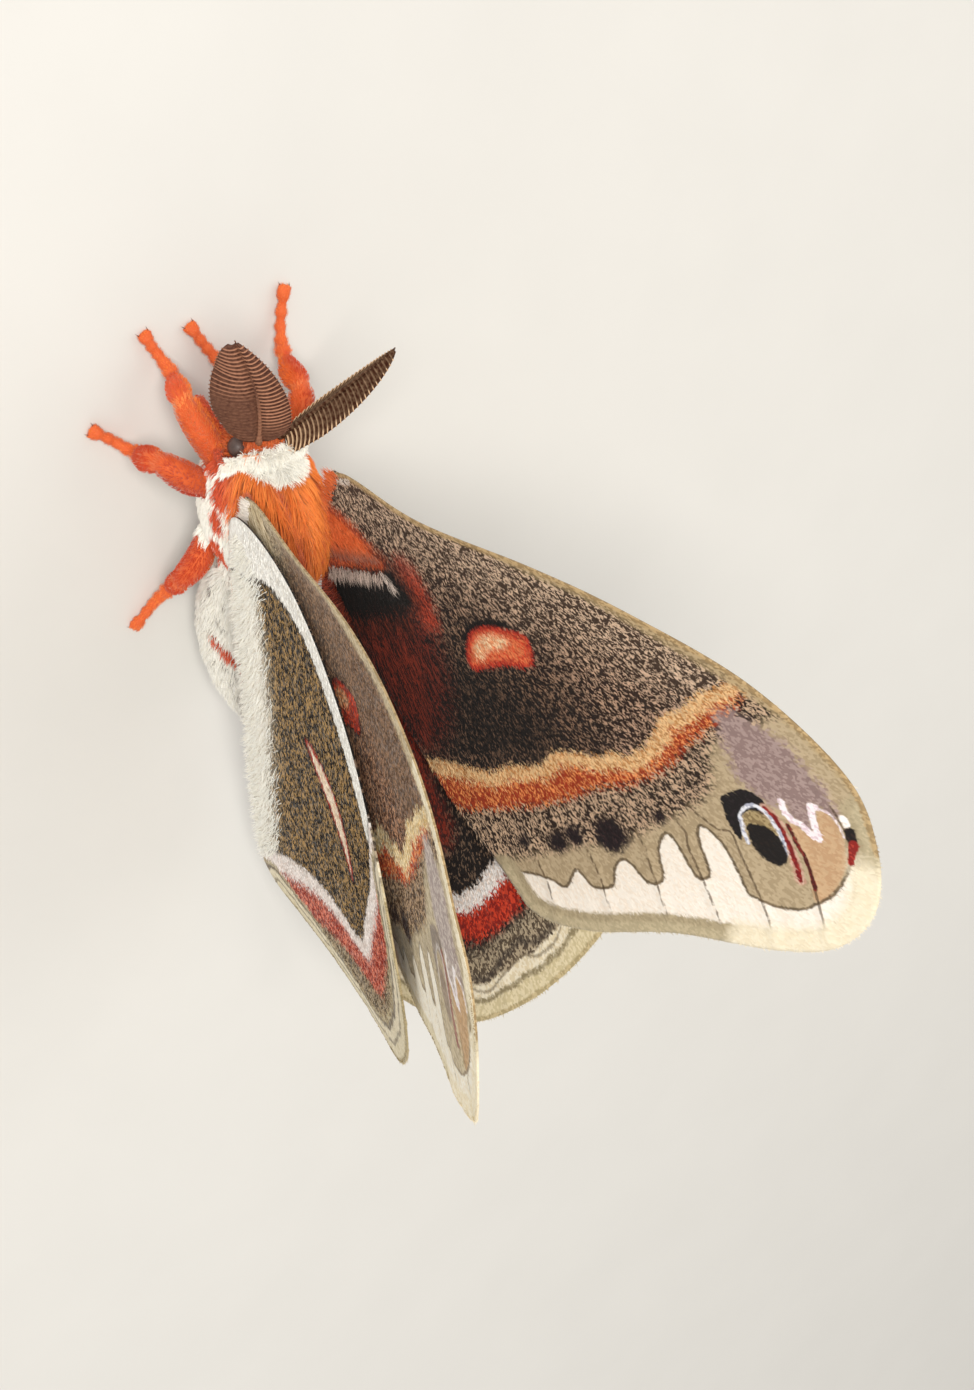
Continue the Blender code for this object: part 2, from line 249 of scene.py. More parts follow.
def node(tree: bpy.types.NodeTree, kind: str, out: str | int, settings: dict | None = None,
         links: dict | None = None) -> Socket:
    """Adds a node to a tree.

    Args:
        tree: the node tree.
        kind: the node's type, without the words ShaderNode.
        out: the output that is wanted.
        settings: its properties and input values.
        links: output sockets for its inputs.

    Returns:
        The output socket.
    """
    made = tree.nodes.new(f"ShaderNode{kind}")
    fit(made, settings or {}, links or {})
    return made.outputs[out]


def start_material(name: str) -> tuple[Material, Callable[..., Socket], bpy.types.Node]:
    """Starts a material.

    Args:
        name: its name.

    Returns:
        The material, the node function bound to its tree, and its shader.
    """
    material = bpy.data.materials.new(name)
    material.use_nodes = True
    return material, partial(node, material.node_tree), material.node_tree.nodes["Principled BSDF"]


# ---------------------------------------------------------------- meshes and pieces
def linked(name: str, data: bpy.types.ID) -> Piece:
    """Makes an object of a mesh, curve, light or camera.

    Args:
        name: its name.
        data: what it shows.

    Returns:
        The object, linked to the scene.
    """
    made = bpy.data.objects.new(name, data)
    bpy.context.scene.collection.objects.link(made)
    return made


def primitive(kind: str, **sizes: float) -> Piece:
    """Adds one of the plain shapes.

    Args:
        kind: its kind, as in the operator's name.
        sizes: the operator's own settings.

    Returns:
        The object.
    """
    bpy.ops.object.select_all(action="DESELECT")
    getattr(bpy.ops.mesh, f"primitive_{kind}_add")(**sizes)
    return bpy.context.view_layer.objects.active


def mesh_piece(name: str, points: Array, faces: Array, values: Fields, unwrap: Array | None = None,
               smooth: bool = False) -> Piece:
    """Makes one mesh object from arrays.

    Args:
        name: the piece's name.
        points: its vertices in body millimetres.
        faces: its triangles.
        values: fields for each vertex, one column or three.
        unwrap: its place in the unwrap, for each vertex.
        smooth: whether it is shaded smooth.

    Returns:
        The object, linked to the scene.
    """
    mesh = bpy.data.meshes.new(name)
    corners = np.ascontiguousarray(faces, np.int32).ravel()
    mesh.vertices.add(len(points))
    mesh.vertices.foreach_set("co", placed(points).astype(np.float32).ravel())
    mesh.loops.add(len(corners))
    mesh.loops.foreach_set("vertex_index", corners)
    mesh.polygons.add(len(faces))
    mesh.polygons.foreach_set("loop_start", np.arange(0, len(corners), 3, dtype=np.int32))
    mesh.update(calc_edges=True)
    mesh.polygons.foreach_set("use_smooth", np.full(len(faces), smooth))
    add_fields(mesh, values)
    if unwrap is not None:
        layer = mesh.uv_layers.new(name="OFBake")
        layer.data.foreach_set("uv", unwrap[corners].astype(np.float32).ravel())
    return linked(name, mesh)


def add_fields(mesh: bpy.types.Mesh, values: Fields) -> None:
    """Writes fields on a mesh's vertices.

    Args:
        mesh: the mesh.
        values: the fields, one column or three.
    """
    for key, rows in values.items():
        wide = rows.ndim == 2
        layer = mesh.attributes.new(key, "FLOAT_VECTOR" if wide else "FLOAT", "POINT")
        layer.data.foreach_set("vector" if wide else "value", rows.astype(np.float32).ravel())


def vertex_rows(mesh: bpy.types.Mesh, key: str) -> Array:
    """Reads the place (co) or the normal of each vertex."""
    rows = np.zeros(len(mesh.vertices) * 3)
    mesh.vertices.foreach_get(key, rows)
    return rows.reshape(-1, 3)


def body_points(mesh: bpy.types.Mesh) -> Array:
    """A mesh's vertices in body millimetres."""
    return vertex_rows(mesh, "co") / MM + MIDDLE


def select_only(*objects: Piece) -> None:
    """Selects objects alone and makes the first one active.

    Args:
        objects: the objects.
    """
    bpy.ops.object.select_all(action="DESELECT")
    for each in objects:
        each.select_set(True)
    bpy.context.view_layer.objects.active = objects[0]


def joined(name: str, parts: list[Piece]) -> Piece:
    """Joins objects into one.

    Args:
        name: the name that it gets.
        parts: the objects.

    Returns:
        The joined object.
    """
    select_only(*parts)
    bpy.ops.object.join()
    made = bpy.context.view_layer.objects.active
    made.name = made.data.name = name
    return made


def apply_modifier(piece: Piece, kind: str, **settings: float | str | bool) -> None:
    """Adds a modifier and applies it.

    Args:
        piece: the object.
        kind: the modifier's type.
        settings: the modifier's own settings.
    """
    select_only(piece)
    modifier = piece.modifiers.new(kind.lower(), kind)
    for key, value in settings.items():
        setattr(modifier, key, value)
    bpy.ops.object.modifier_apply(modifier=modifier.name)


def finish_piece(piece: Piece, slot: str, *materials: Material) -> None:
    """Dresses a piece, hangs it on the moth and reports it.

    Args:
        piece: the object.
        slot: the record's slot that its finish belongs to; not used.
        materials: the materials to add, in order.
    """
    for material in materials:
        piece.data.materials.append(material)
    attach(piece, ROOT_BODY)
    LOG.info("%s: %d faces", piece.name, len(piece.data.polygons))


# ---------------------------------------------------------------- finishes
@dataclass(frozen=True)
class Mark:
    """One zone of a wing: where its field lies above low (and below high) it takes this colour."""

    source: str
    low: float
    deep: str
    pale: str
    share: float  # share of pale scales
    soft: float  # half width of the border, mm
    fray: float  # how far single scales cross the border, mm
    cover: float = 1.0
    high: float | None = None


@dataclass(frozen=True)
class WingPaint:
    """Chitin wing scales: matt, overlapping, each of one colour, so borders are ragged and fields speckled."""

    name: str
    ground: tuple[str, str, float]  # deep scale, pale scale, share of pale ones
    marks: tuple[Mark, ...]
    sheen: float = 0.12
    sheen_roughness: float = 0.5
    roughness: float = 0.72
    specular: float = 0.25
    cell_mm: Span = (0.36, 0.17)  # one scale's length and width as drawn
    clump: Span = (0.4, 1.1)  # how strongly like scales lie together, and over how many mm
    darkest: Span = (0.66, 0.84)  # how dark the darkest scale is where the wing is lively and where it is calm
    brightest: Span = (0.99, 0.91)  # the same for the brightest scale
    bump: Span = (0.55, 0.12)  # strength of the drawn scales' relief where the wing is lively and where calm
    bump_mm: float = 0.08

    def build(self, grain: Grain) -> Material:
        """Makes the material, or finds it where it is made already.

        Args:
            grain: whether single scales come from drawn cells or from each modelled scale.

        Returns:
            The material.
        """
        name = f"{self.name}_{grain.value}"
        if name in bpy.data.materials:
            return bpy.data.materials[name]
        material, add, shader = start_material(name)
        calm = add("Attribute", "Fac", {"attribute_name": "calm"})
        tint, fray, glow, relief = self.single_scales(add, grain)
        cloud = add("TexNoise", "Fac", {"Scale": 1.0 / (self.clump[1] * MM), "Detail": 2.0},
                    {"Vector": add("TexCoord", "Object")})
        patchy = add("Math", 0, {"operation": "MULTIPLY_ADD", 1: self.clump[0], 2: -self.clump[0] / 2}, {0: cloud})
        drift = add("Math", 0, {"operation": "ADD", 1: -0.5}, {0: fray})
        chosen = add("Math", 0, {"operation": "ADD"}, {0: tint, 1: patchy})
        colour = self.speckled(add, chosen, *self.ground)
        for mark in self.marks:
            shade = self.speckled(add, chosen, mark.deep, mark.pale, mark.share)
            colour = add("Mix", 2, {"data_type": "RGBA"}, {0: self.covered(add, mark, drift), 6: colour, 7: shade})
        low = add("MapRange", 0, {"To Min": self.darkest[0], "To Max": self.darkest[1]}, {"Value": calm})
        high = add("MapRange", 0, {"To Min": self.brightest[0], "To Max": self.brightest[1]}, {"Value": calm})
        lit = add("MapRange", 0, {}, {"Value": glow, "To Min": low, "To Max": high})
        colour = add("VectorMath", 0, {"operation": "SCALE"}, {0: colour, 3: lit})
        fit(shader, {"Roughness": self.roughness, "Specular IOR Level": self.specular, "Sheen Weight": self.sheen,
                     "Sheen Roughness": self.sheen_roughness}, {"Base Color": colour})
        if relief is not None:
            strength = add("MapRange", 0, {"To Min": self.bump[0], "To Max": self.bump[1]}, {"Value": calm})
            bump = add("Bump", 0, {"Distance": self.bump_mm * MM}, {"Height": relief, "Strength": strength})
            fit(shader, {}, {"Normal": bump})
        return material

    def single_scales(self, add: Callable, grain: Grain) -> tuple[Socket | None, ...]:
        """Gives each scale its own chance values.

        Args:
            add: the node function.
            grain: where the scales are found.

        Returns:
            Tint, fray and glow of the scale, and its relief where it is only drawn.
        """
        if grain is Grain.SCALES:
            return *(add("Attribute", "Fac", {"attribute_name": key}) for key in ("tint", "fray", "glow")), None
        place = add("Attribute", "Vector", {"attribute_name": "grain"})
        stretched = add("VectorMath", 0, {"operation": "MULTIPLY",
                                          1: (1.0 / self.cell_mm[0], 1.0 / self.cell_mm[1], 1.0)}, {0: place})
        relief = add("TexVoronoi", "Distance", {"voronoi_dimensions": "2D", "Scale": 1.0}, {"Vector": stretched})
        first = add("SeparateColor", 0, {}, {0: relief.node.outputs["Color"]})
        return first, first.node.outputs[1], first.node.outputs[2], relief

    @staticmethod
    def speckled(add: Callable, chosen: Socket, deep: str, pale: str,
                 share: float) -> Socket:
        """Colours a field with scales of two colours.

        Args:
            add: the node function.
            chosen: each scale's chance value.
            deep: the deep scales' colour.
            pale: the pale scales' colour.
            share: the share of pale ones.

        Returns:
            The colour.
        """
        pick = add("Math", 0, {"operation": "LESS_THAN", 1: share}, {0: chosen})
        return add("Mix", 2, {"data_type": "RGBA", 6: linear(deep), 7: linear(pale)}, {0: pick})

    @staticmethod
    def covered(add: Callable, mark: Mark, drift: Socket) -> Socket:
        """Finds where a mark lies.

        Args:
            add: the node function.
            mark: the mark.
            drift: how far each scale strays over the mark's border, from -0.5 to 0.5.

        Returns:
            The mark's cover, from 0 to 1.
        """
        value = add("Attribute", "Fac", {"attribute_name": mark.source})
        value = add("Math", 0, {"operation": "MULTIPLY_ADD", 1: mark.fray}, {0: drift, 2: value})
        smooth = {"interpolation_type": "SMOOTHSTEP"}
        cover = add("MapRange", 0, smooth | {"From Min": mark.low - mark.soft, "From Max": mark.low + mark.soft,
                                             "To Max": mark.cover}, {"Value": value})
        if mark.high is None:
            return cover
        fall = add("MapRange", 0, smooth | {"From Min": mark.high - mark.soft, "From Max": mark.high + mark.soft,
                                            "To Min": 1.0, "To Max": 0.0}, {"Value": value})
        return add("Math", 0, {"operation": "MULTIPLY"}, {0: cover, 1: fall})


@dataclass(frozen=True)
class CoatPaint:
    """Insect hair scales: soft and matt with a faint bloom, with painted shade darker at the roots, white, orange or
    dusky.
    """

    name: str
    orange: tuple[str, str]
    rust: tuple[str, str]
    white: tuple[str, str]
    dusk: tuple[str, str]
    sheen: float = 0.25
    sheen_roughness: float = 0.45
    roughness: float = 0.62
    specular: float = 0.2
    root_shade: float = 0.58  # painted shade: how dark a lock is at its root
    pale_root_shade: float = 0.94  # the same painted shade for white hair, which passes light on, so it is less dark
    lit_from: float = 0.7  # share of a lock's length from which it is fully lit
    cloud: float = 900.0  # patches to the metre in which the hair is paler or deeper
    cloud_share: float = 0.55
    bump_mm: float = 0.1

    def build(self) -> Material:
        """Makes the material, which reads the white, rust, dusk, along and tint fields of its piece.

        Returns:
            The material.
        """
        material, add, shader = start_material(self.name)
        tint = add("Attribute", "Fac", {"attribute_name": "tint"})
        cloud = add("TexNoise", "Fac", {"Scale": self.cloud, "Detail": 3.0}, {"Vector": add("TexCoord", "Object")})
        blend = add("Math", 0, {"operation": "MULTIPLY_ADD", 1: self.cloud_share}, {0: cloud, 2: tint})
        blend = add("MapRange", 0, {"From Min": 0.2, "From Max": 1.2}, {"Value": blend})
        two_tone = {"data_type": "RGBA", 6: linear(self.orange[0]), 7: linear(self.orange[1])}
        colour = add("Mix", 2, two_tone, {0: blend})
        for key in ("rust", "white", "dusk"):
            deep, pale = getattr(self, key)
            mask = add("Attribute", "Fac", {"attribute_name": key})
            shade = add("Mix", 2, {"data_type": "RGBA", 6: linear(deep), 7: linear(pale)}, {0: blend})
            colour = add("Mix", 2, {"data_type": "RGBA"}, {0: mask, 6: colour, 7: shade})
        # painted shade: each lock darkens from lit_from down to its root, less where the hair is white
        deep = add("MapRange", 0, {"To Min": self.root_shade, "To Max": self.pale_root_shade},
                   {"Value": add("Attribute", "Fac", {"attribute_name": "white"})})
        lit = add("MapRange", 0, {"From Max": self.lit_from, "To Max": 1.0},
                  {"Value": add("Attribute", "Fac", {"attribute_name": "along"}), "To Min": deep})
        colour = add("VectorMath", 0, {"operation": "SCALE"}, {0: colour, 3: lit})
        bump = add("Bump", 0, {"Strength": 0.5, "Distance": self.bump_mm * MM}, {"Height": cloud})
        fit(shader, {"Roughness": self.roughness, "Specular IOR Level": self.specular, "Sheen Weight": self.sheen,
                     "Sheen Roughness": self.sheen_roughness}, {"Base Color": colour, "Normal": bump})
        return material


@dataclass(frozen=True)
class ShellFinish:
    """Bare chitin, as on feelers, claws and eyes: a hard skin whose colour drifts between two shades."""

    name: str
    deep: str
    pale: str
    roughness: float
    grain_mm: float
    bump_mm: float
    facets: bool = False
    field_name: str | None = None  # a field that leads the colour from deep to pale
    coat: float = 0.0
    coat_roughness: float = 0.12
    specular: float = 0.5
    stain: float = 0.4  # how far the grain shifts a colour that a field leads

    def build(self) -> Material:
        """Makes the material, which reads the named field of its piece if there is one.

        Returns:
            The material.
        """
        material, add, shader = start_material(self.name)
        spot = add("TexCoord", "Object")
        noise = add("TexNoise", "Fac", {"Scale": 1.0 / (self.grain_mm * MM), "Detail": 3.0}, {"Vector": spot})
        lead = height = noise
        if self.field_name:
            worn = add("Attribute", "Fac", {"attribute_name": self.field_name})
            small = add("Math", 0, {"operation": "MULTIPLY_ADD", 1: self.stain, 2: -self.stain / 2}, {0: noise})
            lead = add("Math", 0, {"operation": "ADD"}, {0: worn, 1: small})
        colour = add("Mix", 2, {"data_type": "RGBA", 6: linear(self.deep), 7: linear(self.pale)}, {0: lead})
        if self.facets:
            height = add("TexVoronoi", "Distance", {"Scale": 1.0 / (self.bump_mm * 2 * MM), "Randomness": 0.35},
                         {"Vector": spot})
        bump = add("Bump", 0, {"Strength": 0.5, "Distance": self.bump_mm * MM}, {"Height": height})
        fit(shader, {"Roughness": self.roughness, "Specular IOR Level": self.specular, "Coat Weight": self.coat,
                     "Coat Roughness": self.coat_roughness}, {"Base Color": colour, "Normal": bump})
        return material


# ---------------------------------------------------------------- locks, hairs and scales
@dataclass(frozen=True)
class Tufts:
    """Many tufts at once: one row for each, in body millimetres."""

    root: Array
    normal: Array
    flow: Array
    length: Array
    width: Array
    rise: Array
    unwrap: Array
    values: Fields

    def changed(self, **rows: Array | Fields) -> "Tufts":
        """The same tufts with some of their columns changed."""
        return Tufts(**({each.name: getattr(self, each.name) for each in fields(self)} | rows))

    def chosen(self, keep: Array) -> "Tufts":
        """The same tufts, but only those kept."""
        rows = {each.name: getattr(self, each.name)[keep] for each in fields(self) if each.name != "values"}
        return Tufts(values={key: value[keep] for key, value in self.values.items()}, **rows)

    def locked(self, per_lock: int, pull: float) -> "Tufts":
        """Turns the tufts of each lock towards its middle one, so that they close to a point as combed hair does.

        Args:
            per_lock: how many tufts share a lock.
            pull: how far they turn, from 0 to 1.

        Returns:
            The tufts.
        """
        lead = np.arange(0, len(self.root), per_lock)
        tree = KDTree(len(lead))
        for i in lead:
            tree.insert(self.root[i], int(i))
        tree.balance()
        near = np.array([tree.find(p)[1] for p in self.root])
        tips = self.root + self.flow * self.length[:, None]
        meet = self.root[near] + self.flow[near] * self.length[near][:, None] * 0.96
        return self.changed(flow=unit(tips + (meet - tips) * pull - self.root))

    def build(self, name: str, rings: int, rng: Chance, curl: float = 0.12, flat: float = 0.6,
              start: float = 0.0) -> list[Piece]:
        """Makes the joined meshes.

        Args:
            name: the name that the pieces share.
            rings: three-sided rings below the tip of each tuft.
            rng: the source of chance.
            curl: sideways bend as a share of the length.
            flat: thickness as a share of the width.
            start: where the shading from root to tip begins; more than 0 for short, well lit fur.

        Returns:
            The pieces.
        """
        count, size, sides = len(self.root), rings * 3 + 1, 3
        across = unit(np.cross(self.flow, self.normal))
        bend = rng.normal(0.0, curl, count) * self.length
        shares = np.array([k / rings * 0.98 for k in range(rings)] + [1.0])
        points, along = np.zeros((count, size, 3)), np.zeros((count, size))
        for k, t in enumerate(shares):
            lift = self.rise * (1.0 - (1.0 - t) ** 2) - 0.1 * (t == 0.0)
            centre = (self.root + self.flow * (self.length * t)[:, None] + self.normal * lift[:, None]
                      + across * (bend * t * t)[:, None])
            if k == rings:
                points[:, -1] = centre
                along[:, -1] = 1.0
                continue
            half = self.width * 0.5 * (1.0 - t) ** 0.55
            for j, angle in enumerate(np.radians([90.0, 210.0, 330.0])):
                points[:, k * sides + j] = (centre + across * (half * math.cos(angle))[:, None]
                                            + self.normal * (half * flat * math.sin(angle))[:, None])
                along[:, k * sides + j] = t
        faces = [(0, 1, 2)]
        for a, d, c, b in tube_quads(rings, sides):
            faces += [(a, b, c), (a, c, d)]
        last = size - 1 - sides
        faces += [(last + j, size - 1, last + (j + 1) % sides) for j in range(sides)]
        corner = np.array([[j / 3.0, shares[k]] for k in range(rings) for j in range(sides)] + [[0.5, 1.0]]) * PATCH
        values = {key: np.repeat(value[:, None], size, axis=1) for key, value in self.values.items()}
        values["along"] = start + (1.0 - start) * along
        return split_pieces(name, points, np.array(faces), values, self.unwrap, corner, PIECE_TUFTS)


def split_pieces(name: str, points: Array, faces: Array, values: Fields, unwrap: Array, corner: Array,
                 most: int) -> list[Piece]:
    """Joins many like little shapes into as few pieces as the triangle limit allows.

    Args:
        name: the name that the pieces share.
        points: vertices, one row of them for each shape.
        faces: the triangles of one shape.
        values: fields for each vertex of each shape.
        unwrap: each shape's place in the unwrap.
        corner: the patch of one shape in the unwrap, for each of its vertices.
        most: most shapes in one piece.

    Returns:
        The pieces.
    """
    count, size = points.shape[:2]
    parts = max(1, math.ceil(count / most))
    made = []
    for part, rows in enumerate(np.array_split(np.arange(count), parts)):
        all_faces = (faces[None] + (np.arange(len(rows)) * size)[:, None, None]).reshape(-1, 3)
        uv = (np.clip(unwrap[rows], 0.0, 1.0)[:, None] * (1.0 - PATCH) + corner[None]).reshape(-1, 2)
        label = name if parts == 1 else f"{name}_{part + 1}"
        made.append(mesh_piece(label, points[rows].reshape(-1, 3), all_faces,
                               {k: v[rows].reshape(-1) for k, v in values.items()}, uv))
    return made


# ---------------------------------------------------------------- wings
ROOT_POINT = np.array((5.135, 3.176, 18.046))  # where the wings meet the thorax
TUCK_START, ROLL_START = 60.0, 49.0
CURL_REACH = (60.0, 71.0)  # span over which the tip turns up


@dataclass(frozen=True)
class WingFrame:
    """Where a wing's own plan (span, chord and height in mm) lies in the body's axes."""

    side: Side
    lean: float
    sweep: float
    toe: float
    terms: tuple[float, ...]  # height terms: two for a forewing, six for a hindwing
    tuck: float = 0.0  # how far the span's end is drawn in, per square millimetre past TUCK_START
    curl: float = 0.0  # how far the very tip turns up, mm
    roll: float = 0.0  # how far the hind edge rolls up at 10 mm past ROLL_START, mm

    def axes(self) -> tuple[Array, Array, Array]:
        """Works out the plan's axes.

        Returns:
            Span, chord and upper normal of the right-hand twin.
        """
        lean, sweep, toe = (math.radians(a) for a in (self.lean, self.sweep, self.toe))
        span = unit(np.array((math.tan(lean) / math.cos(sweep), -math.tan(sweep), 1.0)))
        chord = np.array((0.0, -1.0, 0.0))
        chord = unit(chord - span * (chord @ span))
        inward = np.cross(span, chord)
        chord = unit(chord * math.cos(toe) - inward * math.sin(toe))
        return span, chord, -unit(np.cross(span, chord))

    def height(self, plan: Array) -> Array:
        """Works out how far the wing's middle bulges from its plan.

        Args:
            plan: points of the plan.

        Returns:
            Their heights, mm.
        """
        u, v = plan[:, 0], plan[:, 1]
        if len(self.terms) == 2:
            return -self.terms[0] * (u / 50.0) ** 2 + self.terms[1] * (np.maximum(v, 0.0) / 40.0) ** 2
        return sum(f * term for f, term in zip(self.terms, (1.0, u, v, u * u, u * v, v * v)))

    def at(self, plan: Array, lift: Array | float = 0.0) -> Array:
        """Puts plan points where they lie on the moth.

        Args:
            plan: points of the plan.
            lift: how far they are raised towards the upper face, mm.

        Returns:
            The points in body millimetres.
        """
        span, chord, normal = self.axes()
        raised = self.height(plan) + lift + self.curl * ramp(plan[:, 0], *CURL_REACH)
        raised += self.roll * (np.maximum(plan[:, 1] - ROLL_START, 0.0) / 10.0) ** 2
        out = plan[:, :1] - self.tuck * np.maximum(plan[:, :1] - TUCK_START, 0.0) ** 2
        points = ROOT_POINT + out * span + plan[:, 1:2] * chord + raised[:, None] * normal
        return points * (self.side.value, 1.0, 1.0)

    def turned(self, plan: Array, heading: Array) -> Array:
        """Directions in the body's axes of headings drawn on the plan."""
        return unit(self.at(plan + unit(heading) * 0.05) - self.at(plan))

    def normals(self, plan: Array) -> Array:
        """Upper normals at plan points."""
        one, two = (self.turned(plan, np.tile(way, (len(plan), 1))) for way in ((1.0, 0.0), (0.0, 1.0)))
        return unit(np.cross(two, one)) * self.side.value


@dataclass(frozen=True)
class WingPlan:
    """The flat shape of a wing: its outline, its veins and the hub that its scales point away from."""

    outline: Line
    margin: Line
    veins: tuple[Line, ...]
    hub: Span
    spacing: float
    fine: tuple[float, float, float, float] | None  # low u, low v, high u, high v of the finely meshed part
    fine_share: float = 0.62  # spacing there as a share of the rest
    row_mm: float = 55.0  # millimetres to a radian across the rows of scales

    def ring(self, spacing: float) -> Array:
        """The rounded outline as evenly spaced points."""
        return evenly(smooth_line(self.outline, 12, closed=True), spacing, closed=True)

    def sheet(self) -> tuple[Array, Array]:
        """Meshes the plan.

        Returns:
            Plan points and triangles.
        """
        ring = self.ring(self.spacing)
        inner = self.grid(ring.min(0), ring.max(0), self.spacing)
        if self.fine:
            low, high = np.array(self.fine[:2]), np.array(self.fine[2:])
            held = ((inner > low) & (inner < high)).all(axis=1)
            inner = np.vstack([inner[~held], self.grid(low, high, self.spacing * self.fine_share)])
        inner = inner[inside(inner, ring)]
        inner = inner[line_distance(inner, ring, closed=True) > self.spacing * 0.55]
        edges = [(i, (i + 1) % len(ring)) for i in range(len(ring))]
        made = geometry.delaunay_2d_cdt([Vector(p) for p in np.vstack([ring, inner])], edges, [], 1, 1e-6)
        return np.array([tuple(p) for p in made[0]]), np.array(made[2])

    @staticmethod
    def grid(low: Array, high: Array, spacing: float) -> Array:
        """Sets points in staggered rows.

        Args:
            low: the box's lowest corner.
            high: its highest corner.
            spacing: the distance between points.

        Returns:
            The points.
        """
        rows = []
        for k, v in enumerate(np.arange(low[1], high[1], spacing * 0.866)):
            u = np.arange(low[0] + (k % 2) * spacing / 2, high[0], spacing)
            rows.append(np.column_stack([u, np.full(len(u), v)]))
        return np.vstack(rows)

    def vein_distance(self, at: Array) -> Array:
        """Distance to the nearest vein."""
        return np.min([line_distance(at, smooth_line(vein, 3)) for vein in self.veins], axis=0)

    def grain(self, at: Array) -> Array:
        """Finds where points lie among the rows of scales.

        Args:
            at: plan points.

        Returns:
            Their coordinates along and across the rows, mm, and a zero.
        """
        away = at - np.array(self.hub)
        turn = np.arctan2(away[:, 1], away[:, 0])
        return np.column_stack([np.linalg.norm(away, axis=1), turn * self.row_mm, np.zeros(len(at))])

    def edge(self, at: Array) -> Array:
        """Distance to the outer margin."""
        return line_distance(at, smooth_line(self.margin, 8))

    def unwrap(self, at: Array, margin: float) -> Array:
        """Places in the unwrap: the plan itself with a margin round it, mm."""
        low, high = np.array(self.outline).min(0) - margin, np.array(self.outline).max(0) + margin
        return (at - low) / (high - low)


FORE_OUT = ((84, -4), (84, 24), (60, 44), (30, 44))


